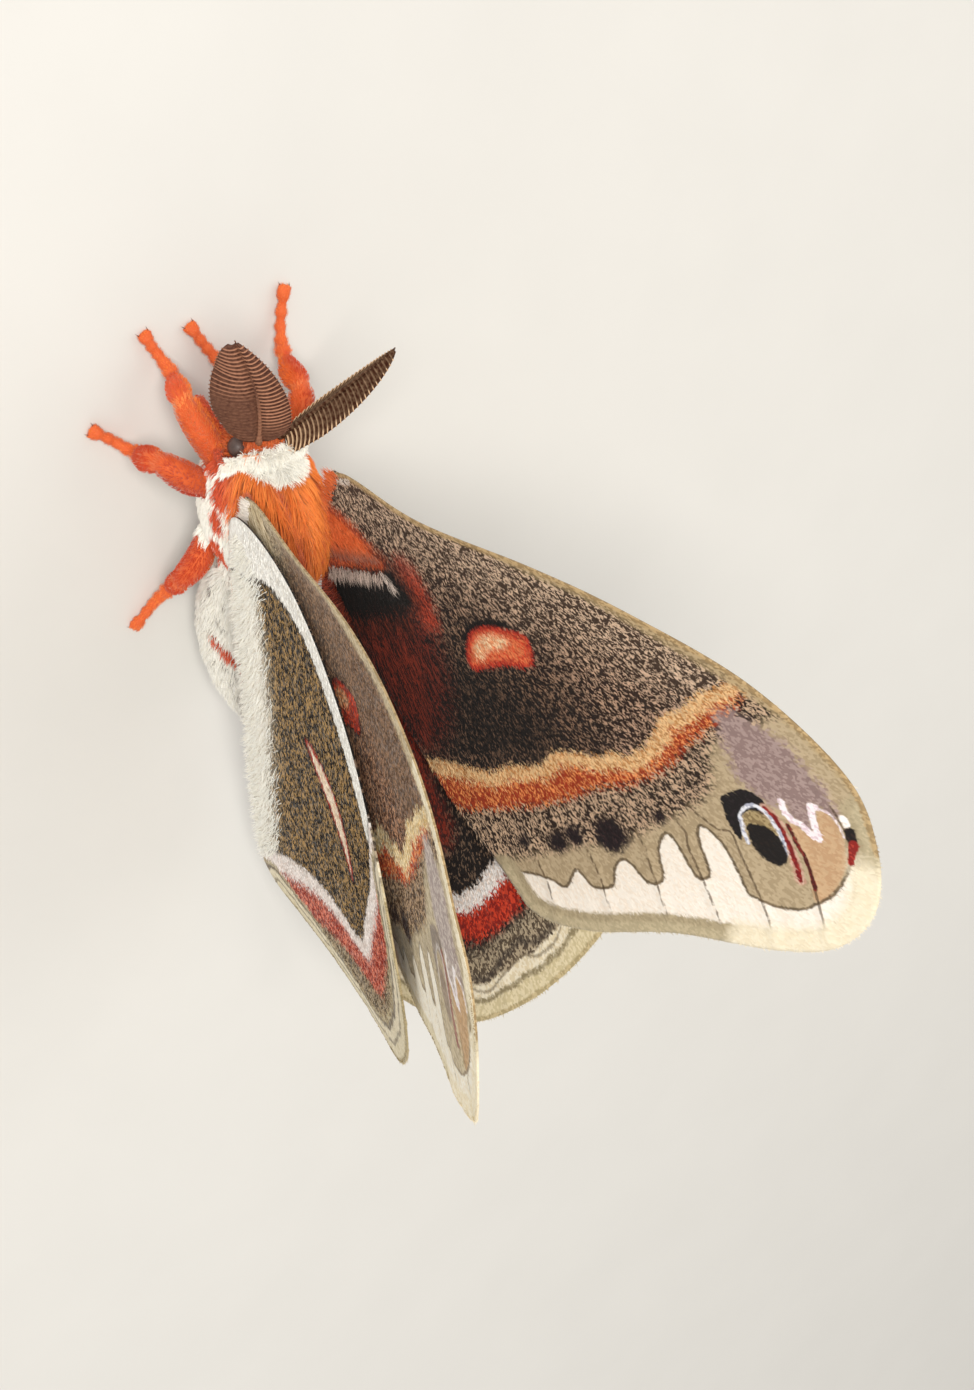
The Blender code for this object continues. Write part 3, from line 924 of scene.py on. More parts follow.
@dataclass(frozen=True)
class ForePattern:
    """The forewing's markings as lines and rings on its plan, mm."""

    wave: Line = ((33.6, 31.2), (36.4, 29.8), (39.5, 28.5), (41.5, 28.4), (41.9, 26.4), (42.2, 25.4), (43.9, 26.2),
                  (44.8, 26.1), (46.4, 24.7), (46, 22.5), (46.5, 21), (47.7, 21.1), (49.6, 22), (51.1, 20.6),
                  (49.7, 17.5), (49.8, 15.3), (51, 15.6), (53.9, 18.1), (55.2, 17.5), (55, 16.4), (53.1, 13.7),
                  (52.9, 12.2), (55, 12.7), (57.2, 14.6), (59.2, 16.9), (60.2, 16.8), (61.9, 16.7), (64.2, 15.7),
                  (65.4, 14.3), (66.7, 11.9), (67.1, 8.1), (66.3, 4))
    olive: Line = ((34, 29.5), (38, 26), (42, 22), (45.5, 19.5), (48, 15.5), (50, 12.5), (52, 9.5),
                   (52.5, 7), (51.5, 3.5), (52.6, 0.4))
    inner: Line = ((20.5, 25), (21.7, 24.5), (24.3, 23), (29.4, 20.9), (31.5, 18.6), (35.1, 16.2), (36, 13.8),
                   (39, 12), (41.1, 11.2), (42.1, 9.8), (44.2, 9.1), (45.9, 5), (45.8, 3.1), (47.1, 1.8),
                   (48.4, -0.7), (49.3, -2.2), (50.6, -3.5), (51.3, -5.5))
    outer: Line = ((24.4, 27.9), (28.1, 26.7), (33.9, 22.4), (38.1, 18.7), (41.8, 14.4), (44.8, 12.1), (48.1, 7.4),
                   (48.7, 5.5), (50.3, 1.6), (52.1, -1.8))
    costal: Line = ((1.5, 1.2), (8.3, 0), (15.8, -0.8), (26, -1.6), (35.1, -2.9), (43.8, -3), (51, -2.6),
                    (57.4, -1.4), (62.5, 1.2), (65.4, 3.6))
    lunule: Line = ((23.2, 9.2), (23.1, 6.6), (24.7, 4.7), (27.8, 3.3), (30, 3), (31.3, 5), (30.7, 6.3),
                    (28.1, 7.6), (25.3, 9.9), (24, 10.3))
    ember: Line = ((24.2, 8.7), (24, 7), (25.2, 5.4), (27.4, 4.5), (27.8, 5.4), (26, 6.9), (25.2, 8.7))
    brow: Line = ((22.2, 8), (22.6, 6), (24, 4.4), (26.4, 3), (27.7, 3), (26, 4.2), (24.2, 5.6),
                  (23.2, 7.4))
    patch: Line = ((-1, 5), (3.2, 4.2), (6.7, 4.9), (10, 5.5), (9.4, 6.6), (6.2, 8.2), (1, 10.8))
    soot: Line = ((-0.6, 11.6), (1.5, 10.4), (6.2, 8.2), (10.4, 6.4), (14.6, 8), (12.8, 9.6), (9.4, 11.6),
                  (4.4, 15.4), (0.6, 15.4))
    flush: Line = ((11.7, 4.4), (13.7, 3.8), (16.4, 5.6), (18.8, 8.4), (16.6, 8.8), (14.2, 6.9))
    wine: Line = ((6.5, 14.6), (12.4, 9.9), (18.3, 10.6), (21.6, 19.7), (17.5, 22.9), (10.7, 18.2))
    night: Line = ((21, 21.4), (20.4, 13), (27, 9.9), (35, 11), (35, 14), (30.5, 18.4))
    blot: Line = ((53.8, 7.8), (55.4, 5.8), (57.4, 5.7), (58.4, 6.6), (58, 7.4), (56.5, 8), (56.3, 9.4),
                  (57, 11.3), (55.4, 10.4), (54.4, 9))
    arc: Line = ((57.6, 11.2), (56.7, 10), (56, 8.5), (56.7, 7), (58, 6.9), (59.6, 7.9), (60.8, 9.4),
                 (61.3, 10.4))
    pupil: Line = ((57, 9.5), (57.9, 8.7), (59.2, 8.5), (60.6, 9.3), (61.5, 10.6), (61.2, 11.8), (59.9, 12.1),
                   (58.2, 11.3))
    middle: Line = ((56.4, 8.8), (57, 7.5), (58.2, 7.4), (59.6, 8.4), (60.8, 9.9), (60, 10.6), (58.2, 10.6))
    streak: Line = ((58, 6.6), (59.2, 7), (60.2, 7.9), (60.9, 8.8), (61.8, 9.9), (62.7, 11.2), (63.3, 12.3))
    vein_red: Line = ((60.5, 7), (61.9, 8.5), (62.8, 9.3), (63.8, 10.6), (64.9, 12.4))
    zigzag: Line = ((59.2, 4.9), (59.9, 5.9), (60.6, 6.3), (61.6, 6.3), (62.8, 6.8), (63.6, 6.9), (62.6, 5.4),
                    (61.8, 3.8), (62.3, 3.7))
    thread: Line = ((62.3, 3.7), (63.6, 3.6), (64.3, 3.9), (65, 4.5), (65.6, 5.3))
    lilac: Line = ((50.9, -0.6), (52.5, -1.7), (57.4, -1.4), (62.1, 1.2), (65, 3.5), (64.3, 4.3), (62.9, 3.5),
                   (61.8, 3.8), (62.8, 6.6), (60.6, 6.2), (59.4, 4.9), (58.7, 5.9), (57.1, 5.6), (54.6, 4.6),
                   (52.6, 2))
    tan: Line = ((60.2, 6.4), (62.5, 6.9), (63.4, 6.7), (62.5, 3.9), (64.2, 3.9), (65.6, 5.5), (66.6, 8.2),
                 (66.5, 11.7), (65.4, 13.8), (64.7, 12.6), (62.9, 9.6), (61.5, 8))
    blotches: tuple[tuple[float, float, float], ...] = (
        (39.1, 23.6, 1.0), (40.6, 21.6, 1.0), (44.4, 19.0, 1.75), (35.4, 26.0, 0.6), (48.6, 13.8, 0.5))

    def fields(self, plan: WingPlan, at: Array) -> Fields:
        """Measures how far points lie inside each marking.

        Args:
            plan: the wing's plan.
            at: the points.

        Returns:
            Signed distances, mm.
        """
        out = FORE_OUT
        wave = beyond(at, self.wave, out, 3)
        front = 0.62 - line_distance(at, smooth_line(plan.outline[1:9], 6))
        olive = beyond(at, self.olive, ((60.0, -8.0), *out))
        edge = plan.edge(at)
        vein = plan.vein_distance(at)
        spots = np.max([r - np.hypot(at[:, 0] - u, at[:, 1] - v) for u, v, r in self.blotches], axis=0)
        made = {
            "wave": wave, "olive": olive, "rim": edge,
            "inner": beyond(at, self.inner, ((84.0, -10.0), *out[1:], (14.0, 44.0)), 2),
            "outer": beyond(at, self.outer, ((54.0, -8.0), (84.0, -10.0), *out[1:], (20.0, 44.0))),
            "costal": beyond(at, self.costal, ((75.0, 0.0), (75.0, -20.0), (-10.0, -20.0), (-10.0, 2.0))),
            "veined": np.minimum(0.13 - vein, np.minimum(olive + 1.2, wave + 3.2)), "spots": spots,
            "yellow": np.minimum.reduce([2.7 - edge, at[:, 0] - 59.0, 0.6 * (at[:, 1] - 7.0)]),
            "streak": 0.55 - line_distance(at, self.streak), "vein_red": 0.3 - line_distance(at, self.vein_red),
            "arc": 0.20 - line_distance(at, smooth_line(self.arc, 4)),
            "zigzag": np.maximum(0.34 - line_distance(at, self.zigzag), 0.12 - line_distance(at, self.thread)),
            "tip_black": 0.50 - line_distance(at, ((65.9, 4.5), (66.3, 5.2))),
            "tip_red": 0.50 - 0.1 * np.abs(at[:, 1] - 5.6) - line_distance(at, ((66.6, 5.6), (66.9, 7.8))),
            "tip_white": 0.34 - line_distance(at, ((64.9, 3.4), (65.4, 3.9))),
            "front": front - 0.2, "root": 9.0 - at[:, 0], "blade": np.minimum(front + 0.75, at[:, 0] - 47.0),
        }
        for key in ("lunule", "ember", "brow", "patch", "soot", "flush", "wine", "night", "blot", "pupil", "middle",
                    "lilac", "tan"):
            made[key] = region(at, getattr(self, key), 4 if key != "lilac" else 1)
        made["calm"] = ramp(np.maximum.reduce([olive, wave, 2.6 - edge, made["lilac"] + 0.6, front + 0.4]), -0.8, 0.8)
        return made


@dataclass(frozen=True)
class HindPattern:
    """The hindwing's markings as lines and rings on its plan, mm."""

    band: Line = ((-0.8, 54.6), (5.2, 49.5), (13.4, 44.8), (20, 42.5), (25, 41.3), (28.4, 39.8), (30.3, 36.5),
                  (31.3, 33), (33.5, 28), (36.5, 21), (38.5, 13), (39.5, 8))
    costal: Line = ((2.5, 8.7), (8.7, 5), (18.1, 4.3), (25, 6.1), (32.4, 9.3), (37.6, 13))
    fluff: Line = ((1.6, 4), (3, 9), (5, 17.8), (5, 28.3), (3.2, 40.7), (0.7, 52.7), (-10, 56),
                   (-10, 2))
    lunule: Line = ((16.5, 19.6), (21, 19.2), (25.8, 20.8), (28.4, 25), (28.6, 29.6), (26.3, 27), (22.8, 24.2),
                    (18.8, 22))
    scarlet: Line = ((14, 22), (19.8, 28.6), (24.5, 33.2), (22, 36), (14, 34), (8, 26))

    def fields(self, plan: WingPlan, at: Array) -> Fields:
        """Measures how far points lie inside each marking.

        Args:
            plan: the wing's plan.
            at: the points.

        Returns:
            Signed distances, mm.
        """
        vein = plan.vein_distance(at)
        band = beyond(at, self.band[::-1], ((-14.0, 60.0), (-14.0, 75.0), (60.0, 75.0), (60.0, 4.0)))
        round_hub = plan.grain(at)[:, 1]
        edge = plan.edge(at)
        edge = edge + (0.16 * np.sin(round_hub * 0.9) + 0.10 * np.sin(round_hub * 2.3 + 1.0)) * ramp(edge, 0.3, 2.0)
        ripple = 0.55 * np.sin(round_hub * 0.9)
        swell = np.interp(at[:, 0], (0.0, 8.0, 22.0, 30.0, 40.0), (1.55, 1.45, 1.15, 1.0, 1.1))
        white = region(at, self.fluff, 3)
        return {
            "calm": ramp(np.maximum(5.0 - edge, white), -1.0, 1.0),
            "band": band / swell, "rim": edge, "vein": vein, "scallop": edge + ripple,
            "costal": beyond(at, self.costal, ((44.0, 9.0), (52.0, -12.0), (-12.0, -12.0), (-8.0, 12.0))),
            "fluff": white, "lunule": region(at, self.lunule, 4),
            "scarlet": region(at, self.scarlet, 4), "veined": np.minimum(0.14 - vein, band - 3.0),
        }


FORE_OUTLINE: Line = (
    (0.1, 1), (1.5, -0.3), (4.5, -0.9), (13.8, -1.5), (28.3, -4.6), (40, -5.9), (53, -5.4), (63.9, -1),
    (68.8, 5.4), (70.5, 12), (68.6, 17.7), (63.5, 21.5), (54, 25.8), (45.4, 31.6), (39, 33.6), (34.5, 31.3),
    (22.8, 25.6), (9, 16.5), (0.3, 9))
HIND_OUTLINE: Line = (
    (0.5, 2.2), (13, 0.8), (26, 2.8), (37, 6.8), (44.4, 15), (46.6, 25.5), (44.9, 36), (40.3, 47),
    (33.2, 55.4), (22, 59), (9, 59.9), (0.5, 57.6), (-0.2, 44), (0.2, 30), (-0.8, 16), (-1.5, 8))
FORE_PLAN = WingPlan(
    outline=FORE_OUTLINE, margin=((66.5, 2), *FORE_OUTLINE[8:16]),
    veins=(((20, 14), (30, 26), (35.5, 31.8)), ((27, 12), (36.7, 26), (39.3, 28.8), (42, 32.6)),
           ((30, 10), (42.5, 22.2), (45.4, 25.4), (47.5, 28.6)),
           ((33, 8), (46.8, 16.9), (48.7, 19), (50.5, 21.3), (52.7, 24.4)),
           ((34, 6), (50, 12.8), (52.2, 15.1), (54.7, 17.9), (57.1, 20.8), (59, 23)),
           ((34, 4), (52.2, 11.1), (55.6, 11), (57.1, 12.6), (59.6, 15.4), (62, 18.5), (63.5, 21)),
           ((34, 2), (50.5, 2.4), (52.4, 3.2), (57.2, 5.6), (59.7, 7), (62.5, 9), (64.8, 12.4),
            (67.1, 16.4), (68, 18)),
           ((45, -3), (57.4, -1), (62.1, 1.5), (68, 7)), ((1, 6), (18, 9), (34, 5)),
           ((1, 4), (20, 1), (34, 0.5))),
    hub=(-18, -8), spacing=0.36, fine=(51, -1.5, 67.5, 18.5))
HIND_PLAN = WingPlan(
    outline=HIND_OUTLINE, margin=(*HIND_OUTLINE[4:11], (4, 59.4)),
    veins=(((2, 6), (24, 22), (30, 20), (44.4, 17)), ((24, 22), (46, 24)),
           ((24, 23), (37, 30), (45.8, 32)), ((23, 24), (37.4, 38.3), (39.7, 40.4), (43.6, 40.6)),
           ((22, 24), (35.6, 42.3), (37, 45.9), (39, 49)), ((20, 23), (29, 45), (33, 55)),
           ((17, 21), (22, 45), (24, 58.6)), ((10, 14), (14, 42), (15, 59.6)),
           ((5, 10), (7, 40), (6, 59.4))),
    hub=(-5, -22), spacing=0.44, fine=None)


FORE_UPPER = WingPaint("forewing_upper_scales", ("#2C1C15", "#C6A48A", 0.34), (
    Mark("night", -6.5, "#170E0B", "#8E6E58", 0.26, 4.0, 0.8, 0.9),
    Mark("night", -0.5, "#0E0807", "#5A4436", 0.14, 3.2, 0.8, 0.85),
    Mark("wine", -1.5, "#200B08", "#742A1C", 0.4, 2.2, 0.8),
    Mark("wine", 2.4, "#2A0E09", "#8A301C", 0.5, 1.3, 0.8, 0.75),
    Mark("flush", -0.4, "#6A2014", "#B8472E", 0.55, 0.9, 1.1),
    Mark("costal", -3.0, "#4C3A2E", "#DCC2A8", 0.38, 4.0, 1.0, 0.85),
    Mark("soot", -0.8, "#0A0605", "#201410", 0.12, 0.8, 0.7),
    Mark("patch", -0.3, "#AE4420", "#E27040", 0.45, 0.6, 0.8),
    Mark("soot", -1.7, "#3A140C", "#7A341E", 0.35, 0.7, 0.8, 0.8, high=-0.5),
    Mark("brow", 0.0, "#0A0606", "#181010", 0.2, 0.2, 0.3),
    Mark("lunule", 0.0, "#9E241A", "#CC3E28", 0.6, 0.15, 0.3),
    Mark("lunule", 0.6, "#D64C2E", "#EC8452", 0.6, 0.45, 0.5),
    Mark("ember", 0.0, "#EDA070", "#FBDCB4", 0.5, 0.4, 0.4),
    Mark("inner", -0.25, "#C89058", "#ECC896", 0.62, 0.15, 0.75),
    Mark("inner", 1.5, "#A43A1A", "#EC9656", 0.34, 0.3, 1.1),
    Mark("outer", 0.0, "#2C1E17", "#CDB094", 0.47, 0.35, 1.2),
    Mark("olive", 0.0, "#AE9B7C", "#C0AD8E", 0.5, 0.8, 1.0),
    Mark("spots", -0.2, "#1C1014", "#342224", 0.2, 0.45, 0.7),
    Mark("lilac", -0.2, "#937C79", "#AC9692", 0.5, 0.7, 0.9),
    Mark("costal", 1.9, "#9A8664", "#BCA680", 0.55, 0.35, 0.4, 0.9),
    Mark("tan", 0.0, "#C49F7A", "#CEAD88", 0.5, 0.2, 0.25),
    Mark("wave", -0.28, "#4A3C2A", "#6A5840", 0.3, 0.1, 0.12, 0.8),
    Mark("wave", 0.05, "#FBF0E2", "#FFF8EE", 0.6, 0.12, 0.12),
    Mark("veined", 0.0, "#4A3824", "#644E34", 0.3, 0.06, 0.08, 0.75),
    Mark("rim", -9.0, "#AA9C7E", "#B8A98A", 0.5, 0.3, 0.3, high=2.2),
    Mark("rim", -9.0, "#BAAD8E", "#C8BA9A", 0.5, 0.3, 0.3, high=1.2),
    Mark("front", 0.0, "#A0865E", "#C0A478", 0.5, 0.15, 0.2, 0.9),
    Mark("yellow", 0.0, "#F4E8CC", "#F9EFD6", 0.55, 0.9, 0.4),
    Mark("blot", 0.0, "#120B0E", "#1E141A", 0.2, 0.1, 0.15),
    Mark("middle", 0.0, "#8A7652", "#AE9A70", 0.45, 0.15, 0.2),
    Mark("streak", 0.0, "#C89A86", "#DCB4A2", 0.5, 0.14, 0.2, 0.8),
    Mark("streak", 0.27, "#7A1216", "#9A2C26", 0.3, 0.10, 0.15),
    Mark("vein_red", 0.1, "#4E1410", "#7A241C", 0.3, 0.08, 0.1),
    Mark("arc", 0.0, "#B4B8CC", "#EAECF6", 0.55, 0.1, 0.15),
    Mark("pupil", 0.0, "#110A0A", "#1C120E", 0.2, 0.12, 0.2),
    Mark("zigzag", 0.0, "#EAD6E0", "#FFF6FC", 0.7, 0.1, 0.12),
    Mark("tip_white", 0.0, "#EFE2DC", "#FFFAF6", 0.6, 0.12, 0.15),
    Mark("tip_black", 0.0, "#17100F", "#2A1C1A", 0.2, 0.12, 0.15),
    Mark("tip_red", 0.0, "#8E1D17", "#B4392C", 0.3, 0.12, 0.15)))
FORE_UNDER = WingPaint("forewing_under_scales", ("#503222", "#BC8E6E", 0.44), (
    # painted light: this root mark pales the ground over the base (u < 25), lifting the shade between fore- and
    # hindwing
    Mark("root", -16.0, "#84664E", "#CCAA8A", 0.5, 6.0, 2.0, 0.55),
    Mark("wine", -2.0, "#4A2C22", "#94705A", 0.4, 2.2, 0.8),
    Mark("costal", -7.0, "#6A5240", "#967A62", 0.5, 4.0, 1.0, 0.8),
    Mark("lunule", -0.3, "#2A1812", "#3E2820", 0.3, 0.15, 0.25),
    Mark("lunule", 0.0, "#B0301E", "#E05A3C", 0.5, 0.15, 0.35),
    Mark("ember", -0.1, "#EE9A60", "#FAC89A", 0.5, 0.4, 0.5),
    Mark("inner", -0.25, "#DDBD82", "#F6E4BC", 0.62, 0.15, 0.8),
    Mark("inner", 1.7, "#BC4A26", "#F49A5E", 0.4, 0.3, 1.1),
    Mark("outer", 0.0, "#5A4532", "#BFA283", 0.48, 0.35, 1.2),
    Mark("olive", 0.0, "#B2A07E", "#D2C2A0", 0.5, 0.8, 1.0),
    Mark("spots", -0.1, "#3A2A28", "#5A4A40", 0.25, 0.45, 0.7),
    Mark("root", 0.0, "#A08C6C", "#DACBAC", 0.6, 4.5, 2.0, 0.9),
    Mark("lilac", 0.0, "#A6948E", "#CDBFB6", 0.5, 0.6, 0.5),
    Mark("costal", 1.5, "#B6A280", "#D6C4A0", 0.55, 0.3, 0.4),
    Mark("tan", 0.0, "#B8905E", "#CFA878", 0.5, 0.25, 0.3),
    Mark("wave", -0.3, "#7A6850", "#958064", 0.3, 0.1, 0.12, 0.8),
    Mark("wave", 0.05, "#F6EBD4", "#FFFAEC", 0.6, 0.12, 0.15),
    Mark("veined", 0.0, "#8A7654", "#A69272", 0.4, 0.06, 0.08, 0.7),
    Mark("rim", -9.0, "#E0D2AC", "#F4E8C8", 0.5, 0.3, 0.35, high=2.0),
    Mark("front", 0.0, "#AE9C7C", "#D0BF9C", 0.5, 0.3, 0.3, 0.9),
    Mark("blade", 0.0, "#E6D8B4", "#FAF0D6", 0.6, 0.2, 0.2),
    Mark("yellow", 0.0, "#F4E6C4", "#FFF6DE", 0.55, 0.6, 0.4),
    Mark("blot", 0.0, "#6A5850", "#8A766A", 0.3, 0.2, 0.25, 0.8),
    Mark("middle", 0.0, "#A28E6C", "#BEAA88", 0.45, 0.15, 0.2),
    Mark("streak", 0.1, "#8A4234", "#A8664E", 0.3, 0.14, 0.25, 0.9),
    Mark("arc", 0.0, "#D8CFCC", "#ECE6E4", 0.55, 0.12, 0.2, 0.6),
    Mark("pupil", 0.0, "#7A6252", "#967A66", 0.3, 0.2, 0.2, 0.7),
    Mark("zigzag", 0.0, "#EADCE0", "#FAF4F4", 0.7, 0.12, 0.2)))
HIND_UPPER = WingPaint("hindwing_upper_scales", ("#160D0A", "#7A6452", 0.22), (
    Mark("fluff", -1.0, "#6E2214", "#AE4826", 0.4, 1.5, 0.6),
    Mark("scarlet", -1.0, "#4E150C", "#9A3018", 0.5, 1.4, 0.8),
    Mark("lunule", 0.0, "#A8362A", "#C85A44", 0.5, 0.2, 0.4),
    Mark("lunule", 1.0, "#D9AE98", "#EED2C2", 0.5, 0.4, 0.5),
    Mark("band", 0.0, "#F4E6DC", "#FFFCFA", 0.66, 0.2, 0.7),
    Mark("band", 2.0, "#941A0C", "#DC4426", 0.5, 0.3, 1.0),
    Mark("band", 5.2, "#170E0C", "#6E5A4C", 0.26, 0.5, 1.3),
    Mark("band", 7.6, "#3A2E26", "#B4A490", 0.5, 0.8, 1.2),
    Mark("rim", -9.0, "#5E5040", "#B8A88E", 0.5, 0.8, 1.0, high=7.6),
    Mark("scallop", 4.8, "#3A302A", "#5E5246", 0.2, 0.3, 0.6, 0.85, high=5.5),
    Mark("rim", -9.0, "#EADCBC", "#F8EFD8", 0.55, 0.2, 0.3, high=4.1),
    Mark("scallop", 3.6, "#7A6C56", "#94866E", 0.3, 0.14, 0.2, 0.7, high=3.95),
    Mark("rim", -9.0, "#958868", "#B0A384", 0.4, 0.2, 0.3, high=2.6),
    Mark("rim", -9.0, "#D8CAA2", "#EADDBA", 0.5, 0.2, 0.3, high=2.0),
    Mark("rim", -9.0, "#AE9E76", "#CAB88E", 0.5, 0.15, 0.2, high=0.5)))
HIND_UNDER = WingPaint("hindwing_under_scales", ("#1A1108", "#B8945E", 0.38), (
    Mark("vein", -9.0, "#2A1E12", "#5E4C30", 0.4, 0.1, 0.15, 0.5, high=0.16),
    Mark("fluff", -2.4, "#7C6E58", "#D2C6AE", 0.5, 2.0, 2.6, 0.8),
    Mark("fluff", -0.7, "#E2DACA", "#F8F2E8", 0.66, 1.6, 1.8),
    Mark("costal", -0.5, "#1E1712", "#32281E", 0.2, 0.15, 0.3, 0.8, high=0.1),
    Mark("costal", 0.0, "#E8E4DC", "#FFFEFA", 0.66, 0.15, 0.25),
    Mark("lunule", -0.35, "#26180F", "#3A2A1C", 0.2, 0.12, 0.2),
    Mark("lunule", 0.0, "#962216", "#C24A32", 0.45, 0.15, 0.25),
    Mark("lunule", 0.6, "#E6C8AA", "#FAECD8", 0.6, 0.25, 0.35),
    Mark("band", -0.35, "#241C12", "#4A3F2E", 0.3, 0.15, 0.2, 0.6),
    Mark("band", 0.0, "#E4D6CE", "#FAF2EE", 0.66, 0.18, 0.4),
    Mark("band", 2.2, "#922818", "#E88A70", 0.42, 0.4, 1.1),
    Mark("band", 6.0, "#5E4E38", "#BCA88A", 0.5, 0.5, 1.0),
    Mark("rim", -9.0, "#A09070", "#D0C2A0", 0.5, 0.4, 0.6, high=5.6),
    Mark("rim", -9.0, "#6A5C46", "#8E7E64", 0.3, 0.25, 0.3, high=4.7),
    Mark("rim", -9.0, "#DACCAA", "#F0E4C8", 0.55, 0.25, 0.3, high=4.0),
    Mark("rim", -9.0, "#7A6C52", "#968668", 0.3, 0.2, 0.25, 0.9, high=2.7),
    Mark("rim", -9.0, "#DACCA8", "#EEE2C2", 0.55, 0.2, 0.2, high=2.2),
    Mark("rim", -9.0, "#A69872", "#C4B690", 0.5, 0.2, 0.25, high=0.6)), clump=(1.8, 0.8))


@dataclass
class Wing:
    """One wing: a thin sheet with veins, and its modelled scales, hairs and fringe."""

    name: str
    plan: WingPlan
    pattern: ForePattern | HindPattern
    frame: WingFrame
    paints: dict[Face, WingPaint]
    scales: dict[Face, int]
    seed: int
    thickness: float = 0.20
    vein_rise: float = 0.10
    vein_width: float = 0.55
    scale_length: Span = (0.34, 0.66)
    scale_width: Span = (0.10, 0.16)
    scale_tilt: Span = (0.02, 0.08)  # how far a scale's end stands up
    scale_stray: float = 0.34  # how far scales turn from the run of their row, radians
    bare: float = 0.80  # share of scales that the calm parts do without
    fringe_spacing: float = 0.085
    fringe_length: Span = (0.32, 0.50)
    fringe_width: Span = (0.10, 0.15)

    def build_sheet(self, points: Array, faces: Array) -> None:
        """Builds the veined sheet with its two painted faces.

        Args:
            points: plan points.
            faces: triangles between them.
        """
        edge, vein = self.plan.edge(points), self.plan.vein_distance(points)
        lift = self.vein_rise * np.exp(-(vein / self.vein_width) ** 2) * (0.35 + 0.65 * (1.0 - ramp(edge, 4.0, 14.0)))
        body = self.frame.at(points, lift)
        one, two, three = (body[faces[:, k]] for k in range(3))
        up = np.cross(two - one, three - one)
        if (up * self.frame.normals(points[faces[:, 0]])).sum() < 0:
            faces = faces[:, ::-1]
        values = self.pattern.fields(self.plan, points) | {"grain": self.plan.grain(points)}
        piece = mesh_piece(f"{self.name}_sheet", body, faces, values, smooth=True)
        for face in Face:
            piece.data.materials.append(self.paints[face].build(Grain.CELLS))
        apply_modifier(piece, "SOLIDIFY", thickness=self.thickness * MM, offset=0.0, use_rim=True,
                       material_offset=1, material_offset_rim=0)
        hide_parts(self.name)
        finish_piece(piece, "wing_scales")

    def build_scales(self, points: Array) -> None:
        """Lays the modelled scales of both faces, each pointing away from the wing's hub.

        Args:
            points: the sheet's plan points, which give the box to scatter in.
        """
        for face, count in self.scales.items():
            rng = np.random.default_rng(self.seed + face.value)
            at = rng.uniform(points.min(0), points.max(0), (int(count * 2.2), 2))
            self.lay_scales(at[inside(at, self.plan.ring(0.6))][:count], face, rng)

    def lay_scales(self, at: Array, face: Face, rng: Chance) -> None:
        """Makes one face's scales as four-sided slivers, each of one colour.

        Args:
            at: the scales' roots on the plan.
            face: the face that they lie on.
            rng: the source of chance.
        """
        calm = self.pattern.fields(self.plan, at)["calm"]
        kept = rng.random(len(at)) > self.bare * calm
        at, calm = at[kept], calm[kept]
        count = len(at)
        heading = at - np.array(self.plan.hub)
        turn = rng.normal(0.0, self.scale_stray, count) * (1.0 - 0.6 * calm)
        cos, sin = np.cos(turn), np.sin(turn)
        heading = np.column_stack([heading[:, 0] * cos - heading[:, 1] * sin,
                                   heading[:, 0] * sin + heading[:, 1] * cos])
        flow = self.frame.turned(at, heading)
        up = self.frame.normals(at) * face.value
        across = unit(np.cross(flow, up))
        skin = self.frame.at(at, face.value * self.thickness * 0.5)
        length = rng.uniform(*self.scale_length, count)[:, None]
        width = rng.uniform(*self.scale_width, count)[:, None]
        tilt = (rng.uniform(*self.scale_tilt, count) * (1.0 - 0.8 * calm))[:, None]
        crown = (0.06 - 0.04 * calm)[:, None]
        points = np.stack([skin - across * width / 2, skin + across * width / 2, skin + flow * length + up * tilt,
                           skin + flow * length * 0.45 + up * (tilt * 0.5 + crown)], axis=1)
        values = self.pattern.fields(self.plan, at) | chance_fields(count, rng, "tint", "fray", "glow")
        values = {key: np.repeat(value[:, None], 4, axis=1) for key, value in values.items()}
        corner = np.array([[0.0, 0.0], [1.0, 0.0], [0.5, 1.0], [0.5, 0.5]]) * PATCH
        faces = np.array([(0, 2, 1), (0, 1, 3), (1, 2, 3), (2, 0, 3)])
        for piece in split_pieces(f"{self.name}_{face.name.lower()}_scales", points, faces, values,
                                  self.plan.unwrap(at, 1), corner, PIECE_TUFTS * 4):
            finish_piece(piece, "wing_scales", self.paints[face].build(Grain.SCALES))

    def hair(self, name: str, at: Array, heading: Array, face: Face, length: Array, rise: float, width: float,
             values: Fields | None, paint: Material, rng: Chance) -> None:
        """Lays long hairs on one face.

        Args:
            name: the piece's name, after the wing's.
            at: their roots on the plan.
            heading: their headings on the plan.
            face: the face that they grow on.
            length: their lengths, mm.
            rise: how far they stand up, mm.
            width: their width, mm.
            values: their white, rust and dusk shares, or None to follow the wing's own markings.
            paint: their material.
            rng: the source of chance.
        """
        count = len(at)
        up = self.frame.normals(at) * face.value
        if values is None:
            values = self.pattern.fields(self.plan, at) | chance_fields(count, rng, "fray", "glow")
        tufts = Tufts(self.frame.at(at, face.value * self.thickness * 0.45), up, self.frame.turned(at, heading),
                      length, width * rng.uniform(0.7, 1.3, count), rise * rng.uniform(0.3, 1.4, count),
                      self.plan.unwrap(at, 3), values | chance_fields(count, rng, "tint"))
        for piece in tufts.locked(9, 0.45).build(f"{self.name}_{name}", 3, rng):
            finish_piece(piece, "white_fur", paint)

